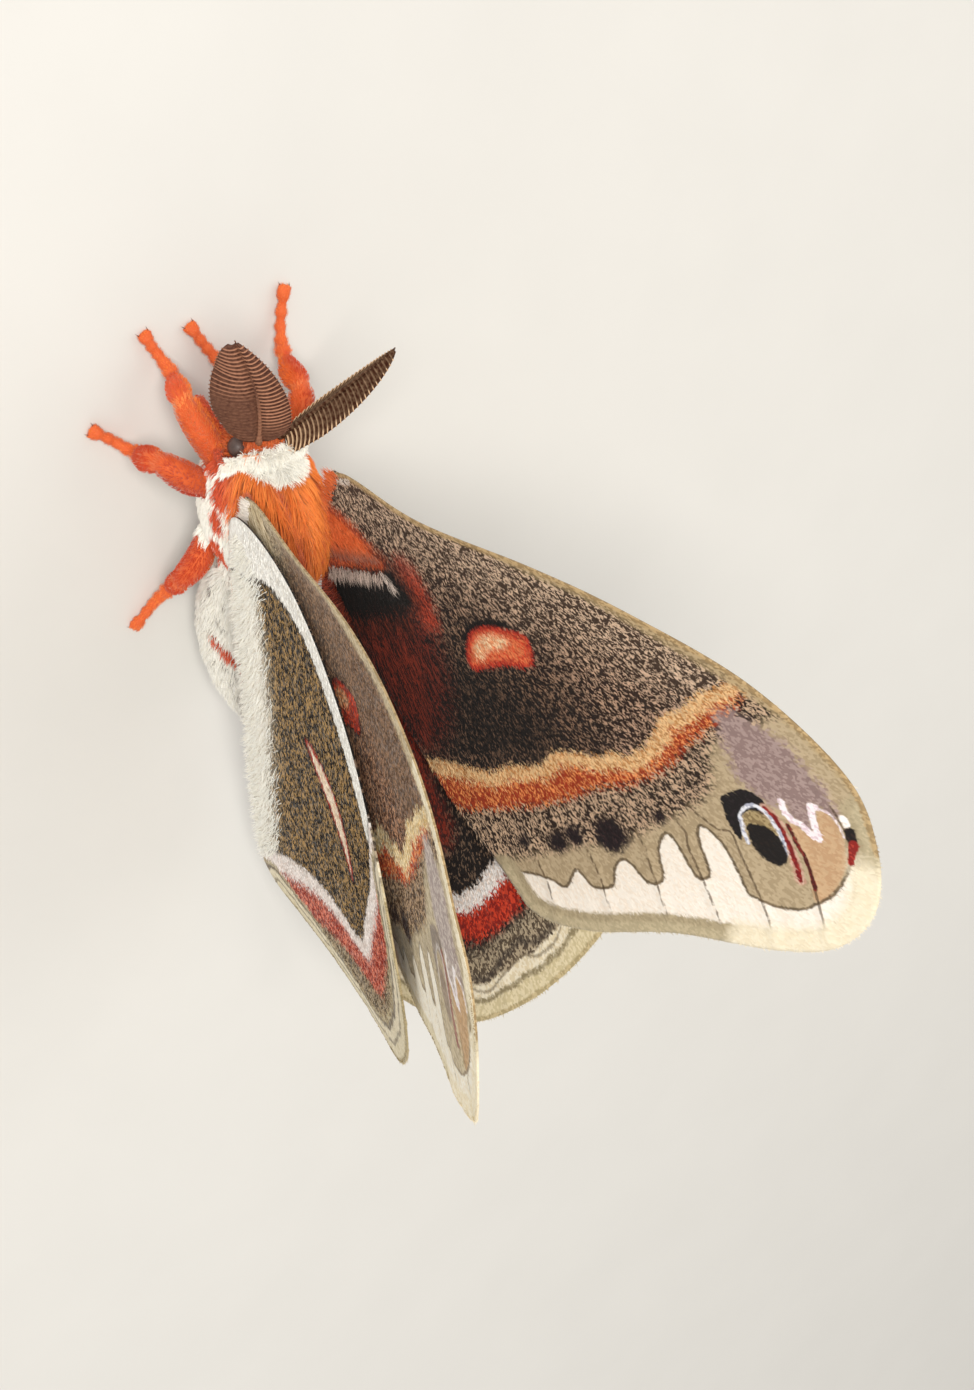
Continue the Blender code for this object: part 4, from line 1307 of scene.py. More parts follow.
    def fringe(self) -> None:
        """Lays the short hairs that stand past the outer margin."""
        rng = np.random.default_rng(self.seed + 5)
        line = evenly(smooth_line(self.plan.margin, 8), self.fringe_spacing)
        step = np.gradient(line, axis=0)
        out = unit(np.column_stack([step[:, 1], -step[:, 0]]))
        out *= np.sign(((line - np.array(self.plan.outline).mean(0)) * out).sum(1))[:, None]
        at = line - out * rng.uniform(0.1, 0.5, len(line))[:, None]
        count = len(at)
        heading = out + rng.normal(0.0, 0.06, (count, 2))
        values = self.pattern.fields(self.plan, at) | chance_fields(count, rng, "tint", "fray", "glow")
        tufts = Tufts(self.frame.at(at, rng.uniform(-0.08, 0.08, count)), self.frame.normals(at),
                      self.frame.turned(at, heading), rng.uniform(*self.fringe_length, count),
                      rng.uniform(*self.fringe_width, count), np.zeros(count), self.plan.unwrap(at, 3), values)
        for piece in tufts.build(f"{self.name}_fringe", 2, rng, 0.03):
            finish_piece(piece, "wing_scales", self.paints[Face.UPPER].build(Grain.SCALES))

    def spots(self, ring: Line, count: int, rng: Chance) -> Array:
        """Scatters points evenly inside a ring of the plan, none past the wing's own edge.

        Args:
            ring: the ring's corners.
            count: how many points are wanted at most.
            rng: the source of chance.

        Returns:
            The points.
        """
        ring = np.array(ring, float)
        at = rng.uniform(ring.min(0), ring.max(0), (count * 6, 2))
        return at[inside(at, ring) & inside(at, smooth_line(self.plan.outline, 6, closed=True))][:count]


def chance_fields(count: int, rng: Chance, *names: str) -> Fields:
    """Gives each tuft or scale a chance value from 0 to 1 for each name."""
    return {name: rng.random(count) for name in names}


# ---------------------------------------------------------------- body
LEGS: dict[str, Line] = {
    "leg_fore_left": ((-2.6, 1.6, 8.3, 1.5), (-4.3, 5.6, 8.2, 1.65), (-5.7, 9.2, 7.0, 1.5), (-5.1, 10.2, 4.4, 1.25),
                      (-4.6, 10.5, 2.6, 0.95), (-5.0, 11.8, 1.35, 0.68), (-5.7, 13.2, 0.8, 0.62),
                      (-6.3, 14.5, 0.54, 0.70)),
    "leg_fore_right": ((2.2, 1.8, 8.0, 1.4), (2.9, 5.6, 7.0, 1.5), (3.7, 9.0, 6.4, 1.4), (3.0, 9.8, 4.3, 1.2),
                       (1.9, 9.6, 2.7, 0.95), (1.0, 10.9, 1.45, 0.68), (0.1, 12.5, 0.8, 0.62),
                       (-0.9, 14.2, 0.54, 0.70)),
    "leg_mid_left": ((-3.6, -0.8, 7.6, 1.5), (-6.8, 1.6, 8.9, 1.7), (-9.6, 4.0, 8.3, 1.5), (-9.9, 3.4, 5.2, 1.4),
                     (-9.3, 2.6, 2.9, 1.0), (-10.4, 3.2, 1.35, 0.68), (-11.6, 4.2, 0.8, 0.62),
                     (-13.2, 5.4, 0.54, 0.70)),
    "leg_mid_right": ((3.8, 0.2, 8.2, 1.5), (6.6, 4.4, 9.0, 1.6), (8.0, 7.5, 7.6, 1.5), (8.3, 8.7, 5.0, 1.35),
                      (8.8, 9.6, 2.9, 1.0), (9.3, 11.0, 1.45, 0.68), (9.8, 13.2, 0.8, 0.62),
                      (10.5, 15.9, 0.54, 0.70)),
    "leg_hind_left": ((-3.8, -5.6, 7.4, 1.4), (-5.8, -9.4, 7.2, 1.55), (-7.4, -12.0, 5.8, 1.4),
                      (-7.2, -13.6, 3.8, 1.2), (-7.2, -14.8, 2.4, 0.92), (-8.3, -16.3, 1.3, 0.68),
                      (-9.4, -17.6, 0.8, 0.62), (-10.9, -19.2, 0.54, 0.70)),
}
LEGS["leg_hind_right"] = tuple((-x, y, z, radius) for x, y, z, radius in LEGS["leg_hind_left"])
HIP_LOBES: tuple[Line, ...] = (
    ((-1.9, 3.4, 8.3, 1.05), (-2.9, 6.6, 7.6, 1.05), (-4.0, 9.4, 6.6, 1.05)),
    ((1.14, 3.4, 7.5, 1.05), (1.74, 6.6, 6.8, 1.05), (2.4, 9.4, 5.8, 1.05)))
TRUNK_DEPTHS = {"thorax": 1.1, "abdomen": 0.9, "head": 0.75}  # how far the skin lies inside the coat
LEG_COAT, FOOT_COAT = 0.34, 0.03
FOOT_START = 4  # the joint at which the foot begins
CLAW_ROOT = 0.35  # how far past the last joint the claws and their pads stand
EYE_PLACE = (2.48, 5.40, 12.15)
EYE_RADIUS = 1.13
PARTINGS: tuple[Line, ...] = (
    ((-1.5, 4.2), (-1.2, 3.4), (-0.6, -0.8), (-0.1, -5.8)),
    ((-3.9, 2.6), (-3.3, 1.8), (-2.2, -1.2), (-1.5, -4.5), (-1.3, -8.0)),
    ((3.9, 2.6), (3.3, 1.8), (2.4, -1.2), (1.8, -4.5), (1.5, -8.0)))  # where the back's fur parts, seen from above
BACK_HEIGHT = 14.5  # the height above which the fur parts
ABDOMEN_LINE: Line = ((8.0, 10.2), (10.5, 9.4), (14.0, 7.6), (18.0, 6.1), (22.0, 5.9), (25.8, 6.2), (29.2, 6.7),
                      (33.0, 7.6))  # how far back, and how high its middle lies there
THORAX_HEIGHT, WAIST = 12.0, -9.0  # height of the thorax's middle, and where the abdomen takes over


def round_angle(at: Array) -> Array:
    """Angle round the trunk in degrees: 0 on the back, positive towards the left, 180 underneath."""
    middle = np.where(at[:, 1] > WAIST, THORAX_HEIGHT, np.interp(-at[:, 1], *zip(*ABDOMEN_LINE)))
    return np.degrees(np.arctan2(-at[:, 0], at[:, 2] - middle))


def trunk_unwrap(at: Array, start: float, reach: float) -> Array:
    """Places in the unwrap: round the trunk, and along it from start over reach, mm."""
    return np.column_stack([np.mod(round_angle(at) / 360.0, 1.0), (at[:, 1] + start) / reach])


def parting_distance(at: Array) -> Array:
    """Distance seen from above to the nearest parting of the back, mm."""
    return np.min([line_distance(at[:, :2], line) for line in PARTINGS], axis=0) + 9.0 * (at[:, 2] < BACK_HEIGHT)


def foot_axes(joints: Line, rise: float) -> tuple[Array, Array, Array]:
    """Works out which way a foot points.

    Args:
        joints: the leg's points.
        rise: the share of the foot's own slope that is kept; 0 lays the directions level.

    Returns:
        The foot's end, the way ahead and the way to its side.
    """
    tip, before = np.array(joints[-1][:3]), np.array(joints[-2][:3])
    ahead = unit((tip - before) * (1.0, 1.0, rise))
    return tip, ahead, unit(np.cross(ahead, (0.0, 0.0, 1.0)))


def tube(name: str, joints: Array) -> Piece:
    """Makes a round limb through points.

    Args:
        name: the object's name.
        joints: the points, each with a radius, mm.

    Returns:
        The limb as a mesh.
    """
    curve = bpy.data.curves.new(name, "CURVE")
    curve.dimensions = "3D"
    curve.bevel_depth = MM
    curve.bevel_resolution = 4
    curve.use_fill_caps = True
    spline = curve.splines.new("POLY")
    spline.points.add(len(joints) - 1)
    for point, row, spot in zip(spline.points, joints, placed(joints[:, :3])):
        point.co = (*spot, 1.0)
        point.radius = row[3]
    select_only(linked(name, curve))
    bpy.ops.object.convert(target="MESH")
    return bpy.context.view_layer.objects.active


def limb(joints: Line) -> Array:
    """Rounds a leg: swollen at thigh and shank, lumpy over the five joints of the foot and flared at its end.

    Args:
        joints: the leg's points, each with a radius.

    Returns:
        Finer points with the skin's own radius.
    """
    path = smooth_line(joints, 10)
    reach = np.arange(len(path)) / 10.0
    on_foot = ramp(reach, FOOT_START - 0.05, FOOT_START + 0.25)
    beads = 0.15 * np.cos((reach - FOOT_START - 0.3) * 2 * math.pi / 0.62)
    swell = 0.16 * np.exp(-((reach - 1.1) / 0.6) ** 2) + 0.20 * np.exp(-((reach - 2.75) / 0.5) ** 2)
    knee = 0.36 * np.exp(-((reach - 2.12) / 0.16) ** 2) + 0.16 * np.exp(-((reach - 3.75) / 0.2) ** 2)
    path[:, 3] += (beads - FOOT_COAT) * on_foot + (swell - knee - LEG_COAT) * (1 - on_foot)
    return path


@dataclass(frozen=True)
class BodyMarks:
    """Which parts of the coat are white, rust red or dusky; the rest is orange."""

    collar_rear: Line = ((0, 3.2), (12, 3.2), (26, 3.7), (40, 4.3), (52, 4.6), (70, 3.6), (82, 2.8), (95, 1.0),
                         (110, 0.4))  # angle from the back, and where the collar ends there, mm
    collar_front: Line = ((0, 6.1), (22, 6.0), (53, 5.6), (82, 4.3), (95, 2.3), (120, 1.9))
    flank_patches: tuple[Spot, ...] = ((-2.4, 85.0, 1.6), (-7.2, 100.0, 2.3))  # y, angle and radius of each
    flank_scale: float = 0.12  # millimetres to a degree on the flank
    border: float = 0.12
    first_ring: float = 8.6  # how far back the abdomen's rings start
    segment: float = 3.6  # length of one ring
    saddle: float = 36.0  # degrees from the back to where the red rings end
    slope: float = 0.116  # how far the rows on the flank rise towards the tail, mm to a degree
    bean: Spot = (18.7, 58.0, 21.0)  # row, angle and half height of the flank's red lunule
    shadow: float = 0.14  # how dusky the abdomen is all over
    smudges: tuple[tuple[float, float, float, float, float], ...] = (  # row, angle, half sizes and depth of each
        (14.0, 88.0, 0.32, 8.0, 0.6), (12.7, 60.0, 0.34, 4.0, 0.5), (18.0, 100.0, 0.3, 5.0, 0.5),
        (15.4, 62.0, 0.34, 11.0, 0.5), (21.2, 62.0, 0.26, 6.0, 0.55), (20.3, 47.0, 0.26, 7.0, 0.5),
        (22.9, 56.0, 0.24, 7.0, 0.5), (21.6, 38.0, 0.24, 6.0, 0.45), (24.2, 52.0, 0.24, 8.0, 0.5),
        (25.6, 60.0, 0.24, 6.0, 0.45), (26.4, 46.0, 0.24, 7.0, 0.45), (23.8, 84.0, 0.24, 7.0, 0.4),
        (27.8, 64.0, 0.24, 7.0, 0.4))

    def trunk(self, at: Array) -> Fields:
        """Marks the head and thorax: a white collar, white flanks with two patches left out, rust sides.

        Args:
            at: points in body millimetres.

        Returns:
            Their white, rust and dusk shares.
        """
        turn, y = np.abs(round_angle(at)), at[:, 1]
        rear, front = (np.interp(turn, *zip(*line)) for line in (self.collar_rear, self.collar_front))
        collar = np.minimum(y - rear, front - y)
        flank = np.minimum(np.where(turn > 70.0, (turn - 94.0) * self.flank_scale, -1.0), 1.4 - y)
        rearward = np.minimum((turn - 58.0) * self.flank_scale, -0.5 - y)
        white = np.maximum.reduce([collar, flank, rearward])
        for centre_y, centre_turn, reach in self.flank_patches:
            away = np.hypot(y - centre_y, (turn - centre_turn) * 0.115)
            white = np.minimum(white, away - reach)
        rust = np.clip(ramp(turn, 50.0, 78.0) + 0.3 * (turn > 128.0), 0.0, 1.0)
        return {"white": ramp(white, -self.border, self.border), "rust": rust, "dusk": np.zeros(len(at))}

    def abdomen(self, at: Array) -> Fields:
        """Marks the abdomen: ringed on the back, white with small marks on the sides.

        Args:
            at: points in body millimetres.

        Returns:
            Their white, rust and dusk shares.
        """
        turn = np.abs(round_angle(at))
        phase = np.mod(-at[:, 1] - self.first_ring, self.segment) / self.segment  # 0 at the front of each ring
        back = ramp(self.saddle - turn, -5.0, 5.0)
        ring_red = back * ramp(phase, 0.0, 0.08) * ramp(0.62 - phase, -0.04, 0.04)
        ring_dark = back * ramp(phase, 0.60, 0.66) * ramp(0.74 - phase, -0.03, 0.03)
        slant = -at[:, 1] - self.slope * (80.0 - turn)
        row, angle, half = self.bean
        bean = np.hypot((slant - row - 0.03 * (turn - angle)) / 0.72, (turn - angle) / half)
        halo = ramp(bean, 0.85, 1.0) * (1.0 - ramp(bean, 1.15, 1.4))
        dusk = np.maximum(self.shadow + ring_dark * 0.75, halo * 0.4)
        for row, angle, half_row, half_turn, depth in self.smudges:
            away = np.hypot((slant - row) / half_row, (turn - angle) / half_turn)
            dusk = np.maximum(dusk, 1.5 * depth * (1.0 - ramp(away, 0.6, 1.3)))
        red = np.maximum(ring_red, 1.0 - ramp(bean, 0.85, 1.1))
        return {"white": 1.0 - red, "rust": red, "dusk": dusk}


@dataclass(frozen=True)
class Skin:
    """One closed skin under the coat: trunk, head and six legs melted together."""

    voxel: float = 0.27
    smoothing: int = 5
    bridges: tuple[tuple[Spot, Spot], ...] = (  # middle and radii of the balls that bridge the trunk's parts
        ((0.0, 3.6, 12.3), (3.1, 3.4, 3.6)), ((0.0, -9.2, 10.6), (4.2, 3.2, 4.3)),
        ((0.0, 2.6, 8.0), (3.6, 3.4, 2.6)), ((0.0, -4.0, 7.2), (4.2, 4.4, 3.0)))
    pad_width: float = 0.85
    pad_radii: Spot = (0.34, 0.46, 0.34)
    groove_depth: float = 0.55
    groove_width: float = 0.5
    sole: float = 0.02  # the lowest that the skin reaches

    @staticmethod
    def shrunken(node_name: str, depth: float) -> Piece:
        """Copies a solid of the frame, merges its corners and draws it in.

        Args:
            node_name: the solid.
            depth: the coat's depth, mm.

        Returns:
            The copy.
        """
        copy = linked(f"core_{node_name}", frame["nodes"][node_name].data.copy())
        copy.data.materials.clear()
        work = bmesh.new()
        work.from_mesh(copy.data)
        bmesh.ops.remove_doubles(work, verts=work.verts, dist=1e-6)
        work.normal_update()
        shifts = [v.normal * (depth * MM) for v in work.verts]
        for vertex, shift in zip(work.verts, shifts):
            vertex.co -= shift
        work.to_mesh(copy.data)
        work.free()
        return copy

    @staticmethod
    def ball(centre: Spot, radii: Spot) -> Piece:
        """Makes a stretched ball.

        Args:
            centre: its middle, in body millimetres.
            radii: its radii along the three axes, mm.

        Returns:
            The ball.
        """
        made = primitive("uv_sphere", segments=24, ring_count=14, radius=MM)
        made.data.transform(Matrix.Translation(placed(np.array(centre))) @ Matrix.Diagonal((*radii, 1.0)))
        return made

    def feet(self) -> list[Piece]:
        """Makes the pads beside the claws.

        Returns:
            The pads.
        """
        pads = []
        for joints in LEGS.values():
            tip, ahead, side = foot_axes(joints, 1.0)
            low = tip + ahead * CLAW_ROOT
            ends = np.array([low - side * self.pad_width, low, low + side * self.pad_width])
            pads.append(tube("core_pad", np.column_stack([ends, self.pad_radii])))
        return pads

    def build(self) -> Piece:
        """Melts the parts into one skin, grooves its back and flattens its soles.

        Returns:
            The skin.
        """
        parts = [self.shrunken(name, depth) for name, depth in TRUNK_DEPTHS.items()]
        parts += [tube(f"core_{name}", limb(joints)) for name, joints in LEGS.items()]
        for k, lobe in enumerate(HIP_LOBES):
            path = smooth_line(lobe, 6)
            path[:, 3] -= LEG_COAT
            parts.append(tube(f"core_hip_{k}", path))
        parts += self.feet() + [self.ball(*bridge) for bridge in self.bridges]
        skin = joined("skin", parts)
        apply_modifier(skin, "REMESH", mode="VOXEL", voxel_size=self.voxel * MM, use_smooth_shade=True)
        apply_modifier(skin, "SMOOTH", factor=0.5, iterations=self.smoothing)
        for vertex in skin.data.vertices:
            vertex.co.z = max(vertex.co.z, self.sole * MM)
        self.groove(skin.data)
        return skin

    def groove(self, mesh: bpy.types.Mesh) -> None:
        """Presses the skin in along the partings of the back.

        Args:
            mesh: the skin's mesh.
        """
        spots, body = vertex_rows(mesh, "co"), body_points(mesh)
        back = (body[:, 2] > BACK_HEIGHT) & (np.abs(body[:, 0]) < 5.5) & (body[:, 1] > WAIST) & (body[:, 1] < 4.5)
        depth = self.groove_depth * np.exp(-(parting_distance(body) / self.groove_width) ** 2) * back
        moved = spots - vertex_rows(mesh, "normal") * (depth * MM)[:, None]
        mesh.vertices.foreach_set("co", moved.ravel())
        mesh.update()


@dataclass(frozen=True)
class Fur:
    """How one part's fur is cut and combed."""

    count: int
    length: Span  # mm, or shares of the part's own length
    width: Span  # mm
    rise: Span  # how far it stands up, mm, or shares of the part's own rise
    stray: float  # how far single tufts turn from the comb
    lock: tuple[int, float]  # tufts to a lock, and how far they close to a point
    rings: int
    shade_start: float
    slot: str = "orange_fur"


FURS = {
    "collar": Fur(9000, (0.7, 1.0), (0.08, 0.14), (0.7, 0.9), 0.13, (4, 0.2), 3, 0.85),
    "thorax": Fur(17000, (0.75, 1.15), (0.10, 0.18), (0.7, 1.25), 0.10, (14, 0.55), 3, 0.25),
    "abdomen": Fur(15000, (0.7, 1.25), (0.10, 0.16), (0.40, 0.75), 0.16, (5, 0.3), 2, 0.4, "white_fur"),
    "head": Fur(3800, (0.6, 1.0), (0.09, 0.15), (0.35, 0.7), 0.2, (4, 0.2), 2, 0.12),
    "legs": Fur(15200, (0.75, 1.2), (0.09, 0.14), (0.8, 1.15), 0.16, (4, 0.2), 2, 0.62),
}


@dataclass(frozen=True)
class Roots:
    """Where one part's fur grows: a row for each tuft."""

    at: Array
    normal: Array
    owner: Array  # 0 thorax, 1 abdomen, 2 head, 3 and more the legs in their order
    share: Array  # how far along its part a root lies
    run: Array  # the way that part runs there

    def combed(self, heading: Array | Spot, stray: float, rng: Chance) -> Array:
        """Lays headings flat on the skin.

        Args:
            heading: the way that the fur is combed, for all or for each tuft.
            stray: how far single tufts turn from it.
            rng: the source of chance.

        Returns:
            Each tuft's own direction.
        """
        heading = np.broadcast_to(heading, self.at.shape)
        heading = heading + rng.normal(0.0, stray, heading.shape)
        return unit(heading - self.normal * (heading * self.normal).sum(1)[:, None])


@dataclass(frozen=True)
class Coat:
    """The body's fur, grown on the skin: long and combed back on the thorax, short on legs, face and feet."""

    skin: Piece
    marks: BodyMarks
    seed: int = 7
    spare: float = 4.4  # points scattered for each tuft wanted, as each part takes only its own
    head_middle: Spot = (0.0, 5.0, 11.8)
    head_radii: Spot = (3.0, 3.4, 3.5)
    head_rear: float = 4.3  # the head's fur starts this far forward
    head_top: float = 16.2  # and reaches this high
    abdomen_front: float = -9.4
    leg_reach: float = 0.35  # how far outside a leg's own radius its roots may lie
    hip_share: float = 0.06  # share of a leg that the trunk's fur covers
    long_hair: tuple[Span, Span] = ((1.15, 2.1), (0.45, 0.35))  # length and rise on the thorax: sides, more on top
    velvet: tuple[Span, Span] = ((0.50, 0.20), (0.30, 0.15))  # length and rise on the legs: thigh, less on the foot

    def mark_skin(self) -> None:
        """Gives the skin the coat's own markings and painted shade, so that it matches where it shows between tufts.
        """
        points = body_points(self.skin.data)
        owner = self.owners(points)[0]
        trunk, belly = self.marks.trunk(points), self.marks.abdomen(points)
        values = {key: np.where(owner == 0, trunk[key], np.where(owner == 1, belly[key], 0.0)) for key in trunk}
        values["rust"] = np.where(owner >= 2, 0.7, values["rust"])
        # painted shade: the skin takes the darkness of a lock's root, deep on trunk and head, lighter on the legs
        values["along"] = np.where(owner >= 3, 0.6, 0.18)
        values["tint"] = np.full(len(points), 0.35)
        add_fields(self.skin.data, values)

    def scatter(self, total: int, rng: Chance) -> tuple[Array, Array]:
        """Spreads points evenly over the skin.

        Args:
            total: how many.
            rng: the source of chance.

        Returns:
            The points and the skin's normals there.
        """
        mesh = self.skin.data
        mesh.calc_loop_triangles()
        corners = np.zeros(len(mesh.loop_triangles) * 3, np.int32)
        mesh.loop_triangles.foreach_get("vertices", corners)
        corners = corners.reshape(-1, 3)
        tri, shade = body_points(mesh)[corners], vertex_rows(mesh, "normal")[corners]
        area = 0.5 * np.linalg.norm(np.cross(tri[:, 1] - tri[:, 0], tri[:, 2] - tri[:, 0]), axis=1)
        chosen = rng.choice(len(area), total, p=area / area.sum())
        a, b = rng.random((2, total, 1))
        flip = a + b > 1.0
        a, b = np.where(flip, 1.0 - a, a), np.where(flip, 1.0 - b, b)
        spot, lean = tri[chosen], shade[chosen]
        roots = spot[:, 0] + (spot[:, 1] - spot[:, 0]) * a + (spot[:, 2] - spot[:, 0]) * b
        return roots, unit(lean[:, 0] * (1 - a - b) + lean[:, 1] * a + lean[:, 2] * b)

    def owners(self, roots: Array) -> tuple[Array, Array, Array]:
        """Tells which part each root belongs to.

        Args:
            roots: points of the skin.

        Returns:
            The part's number as in Roots, how far along it the root lies, and the way the part runs there.
        """
        best, share = np.full(len(roots), 1e9), np.zeros(len(roots))
        owner = np.zeros(len(roots), int)
        run = np.tile((0.0, -1.0, 0.0), (len(roots), 1))
        for k, joints in enumerate(LEGS.values(), start=3):
            path = limb(joints)
            for i in range(len(path) - 1):
                a, b = path[i, :3], path[i + 1, :3]
                step = b - a
                t = np.clip((roots - a) @ step / (step @ step), 0.0, 1.0)
                away = np.linalg.norm(roots - a - t[:, None] * step, axis=1) - path[i, 3]
                closer = away < best
                best[closer], owner[closer] = away[closer], k
                share[closer] = (i + t[closer]) / (len(path) - 1)
                run[closer] = unit(step)
        trunk = (best > self.leg_reach) | (share < self.hip_share)
        y, z = roots[:, 1], roots[:, 2]
        on_ball = np.linalg.norm((roots - self.head_middle) / self.head_radii, axis=1) < 1.05
        owner[trunk] = np.where(y < self.abdomen_front, 1, 0)[trunk]
        owner[trunk & on_ball & (y > self.head_rear) & (z < self.head_top)] = 2
        return owner, share, run

    def grow(self, paint: Material) -> None:
        """Grows every part's fur as tufts and joins them into pieces.

        Args:
            paint: the coat's material.
        """
        rng = np.random.default_rng(self.seed)
        at, normal = self.scatter(int(sum(fur.count for fur in FURS.values()) * self.spare), rng)
        owner, share, run = self.owners(at)
        white = self.marks.trunk(at + rng.normal(0.0, 0.10, at.shape))["white"]
        collar = (owner == 0) & (white > 0.5) & self.on_collar(at)
        groups = {"collar": collar, "thorax": (owner == 0) & ~collar, "abdomen": owner == 1, "head": owner == 2,
                  "legs": owner >= 3}
        for name, fur in FURS.items():
            rows = np.flatnonzero(groups[name])[:fur.count]
            LOG.info("coat %s: %d of %d roots", name, len(rows), groups[name].sum())
            roots = Roots(at[rows], normal[rows], owner[rows], share[rows], run[rows])
            tufts = getattr(self, f"{name}_tufts")(roots, fur, rng).locked(*fur.lock)
            for piece in tufts.build(f"coat_{name}", fur.rings, rng, start=fur.shade_start):
                finish_piece(piece, fur.slot, paint)

    @staticmethod
    def on_collar(at: Array) -> Array:
        """Tells which points lie on the neck, where the collar may grow."""
        return (at[:, 1] > 1.0) & (np.abs(round_angle(at)) < 80.0)

    def thorax_tufts(self, roots: Roots, fur: Fur, rng: Chance) -> Tufts:
        """Combs long locks back over the thorax, flat, rust red and darkened by painted shade in the partings.

        Args:
            roots: where they grow.
            fur: how they are cut.
            rng: the source of chance.

        Returns:
            The tufts.
        """
        at, count = roots.at, len(roots.at)
        apart = -0.12 * np.sign(at[:, 0]) * (np.abs(at[:, 0]) > 1.0)
        flow = roots.combed(np.column_stack([apart, np.full(count, -1.0), -0.10 * np.ones(count)]), fur.stray, rng)
        top = 1.0 - ramp(np.abs(round_angle(at)), 50.0, 85.0)
        parted = np.exp(-(parting_distance(at) / 0.55) ** 2)
        ahead = 1.0 - 0.7 * ramp(at[:, 1], 3.6, 4.3)
        (side_length, top_length), (side_rise, top_rise) = self.long_hair
        length = (side_length + top_length * top) * rng.uniform(*fur.length, count) * ahead
        rise = (side_rise + top_rise * top) * rng.uniform(*fur.rise, count) * (1.0 - 0.85 * parted) * ahead
        values = self.marks.trunk(at + flow * (0.5 * length)[:, None] + rng.normal(0.0, 0.10, at.shape))
        values["white"] *= ~self.on_collar(at)
        values["rust"] = np.clip(values["rust"] + 0.9 * parted, 0.0, 1.0)
        # painted shade: the partings are dusky, except on white hair
        values["dusk"] = 0.25 * parted * (values["white"] < 0.5)
        width = rng.uniform(*fur.width, count)
        values["tint"] = np.clip(rng.normal(0.5, 0.22, count), 0, 1)
        return Tufts(at, roots.normal, flow, length, width, rise, trunk_unwrap(at, 12.0, 20.0), values)

    def collar_tufts(self, roots: Roots, fur: Fur, rng: Chance) -> Tufts:
        """Stands the thick white collar up from the neck.

        Args:
            roots: where it grows.
            fur: how it is cut.
            rng: the source of chance.

        Returns:
            The tufts.
        """
        at, count = roots.at, len(roots.at)
        flow = roots.combed((0.0, -1.0, 0.1), fur.stray, rng)
        values = {"white": np.ones(count), "rust": np.zeros(count), "dusk": np.zeros(count)}
        values |= chance_fields(count, rng, "tint")
        thin = ramp(np.abs(round_angle(at)), 24.0, 50.0)
        return Tufts(at, roots.normal, flow, rng.uniform(*fur.length, count) * (1.0 - 0.3 * thin),
                     rng.uniform(*fur.width, count), rng.uniform(*fur.rise, count) * (1.0 - 0.4 * thin),
                     trunk_unwrap(at, 12.0, 20.0), values)

    def abdomen_tufts(self, roots: Roots, fur: Fur, rng: Chance) -> Tufts:
        """Lays fluffy hair over the rings of the abdomen.

        Args:
            roots: where it grows.
            fur: how it is cut.
            rng: the source of chance.

        Returns:
            The tufts.
        """
        at, count = roots.at, len(roots.at)
        flow = roots.combed((0.0, -1.0, -0.12), fur.stray, rng)
        values = self.marks.abdomen(at + flow * 0.45 + rng.normal(0.0, 0.03, at.shape))
        values |= chance_fields(count, rng, "tint")
        return Tufts(at, roots.normal, flow, rng.uniform(*fur.length, count), rng.uniform(*fur.width, count),
                     rng.uniform(*fur.rise, count), trunk_unwrap(at, 34.0, 26.0), values)

    def head_tufts(self, roots: Roots, fur: Fur, rng: Chance) -> Tufts:
        """Sweeps short hair down the face and round the eyes.

        Args:
            roots: where it grows.
            fur: how it is cut.
            rng: the source of chance.

        Returns:
            The tufts.
        """
        at, count = roots.at, len(roots.at)
        crown = at[:, 2] > 13.4
        flow = roots.combed(np.where(crown[:, None], (0.0, 1.0, -0.25), (0.0, 0.25, -1.0)), fur.stray, rng)
        values = {"white": np.zeros(count), "rust": np.full(count, 0.55), "dusk": 0.25 * (rng.random(count) < 0.2)}
        values |= chance_fields(count, rng, "tint")
        turn = np.arctan2(at[:, 0], at[:, 1] - 5.0)
        unwrap = np.column_stack([np.mod(turn / (2 * math.pi), 1.0), (at[:, 2] - 7.0) / 10.0])
        away = at * (np.sign(at[:, :1]) * (1, 0, 0) + (0, 1, 1)) - EYE_PLACE
        away[:, 0] *= np.sign(at[:, 0])
        eye = np.linalg.norm(away, axis=1)
        near = 1.0 - ramp(eye, 1.3, 2.0)
        flow = unit(flow * (1.0 - 0.5 * near)[:, None] + unit(away) * (0.6 * near)[:, None])
        shorter = np.where(crown, 0.75, 1.0)
        tufts = Tufts(at, roots.normal, flow, rng.uniform(*fur.length, count) * shorter,
                      rng.uniform(*fur.width, count), rng.uniform(*fur.rise, count) * shorter, unwrap, values)
        return tufts.chosen(eye > EYE_RADIUS)

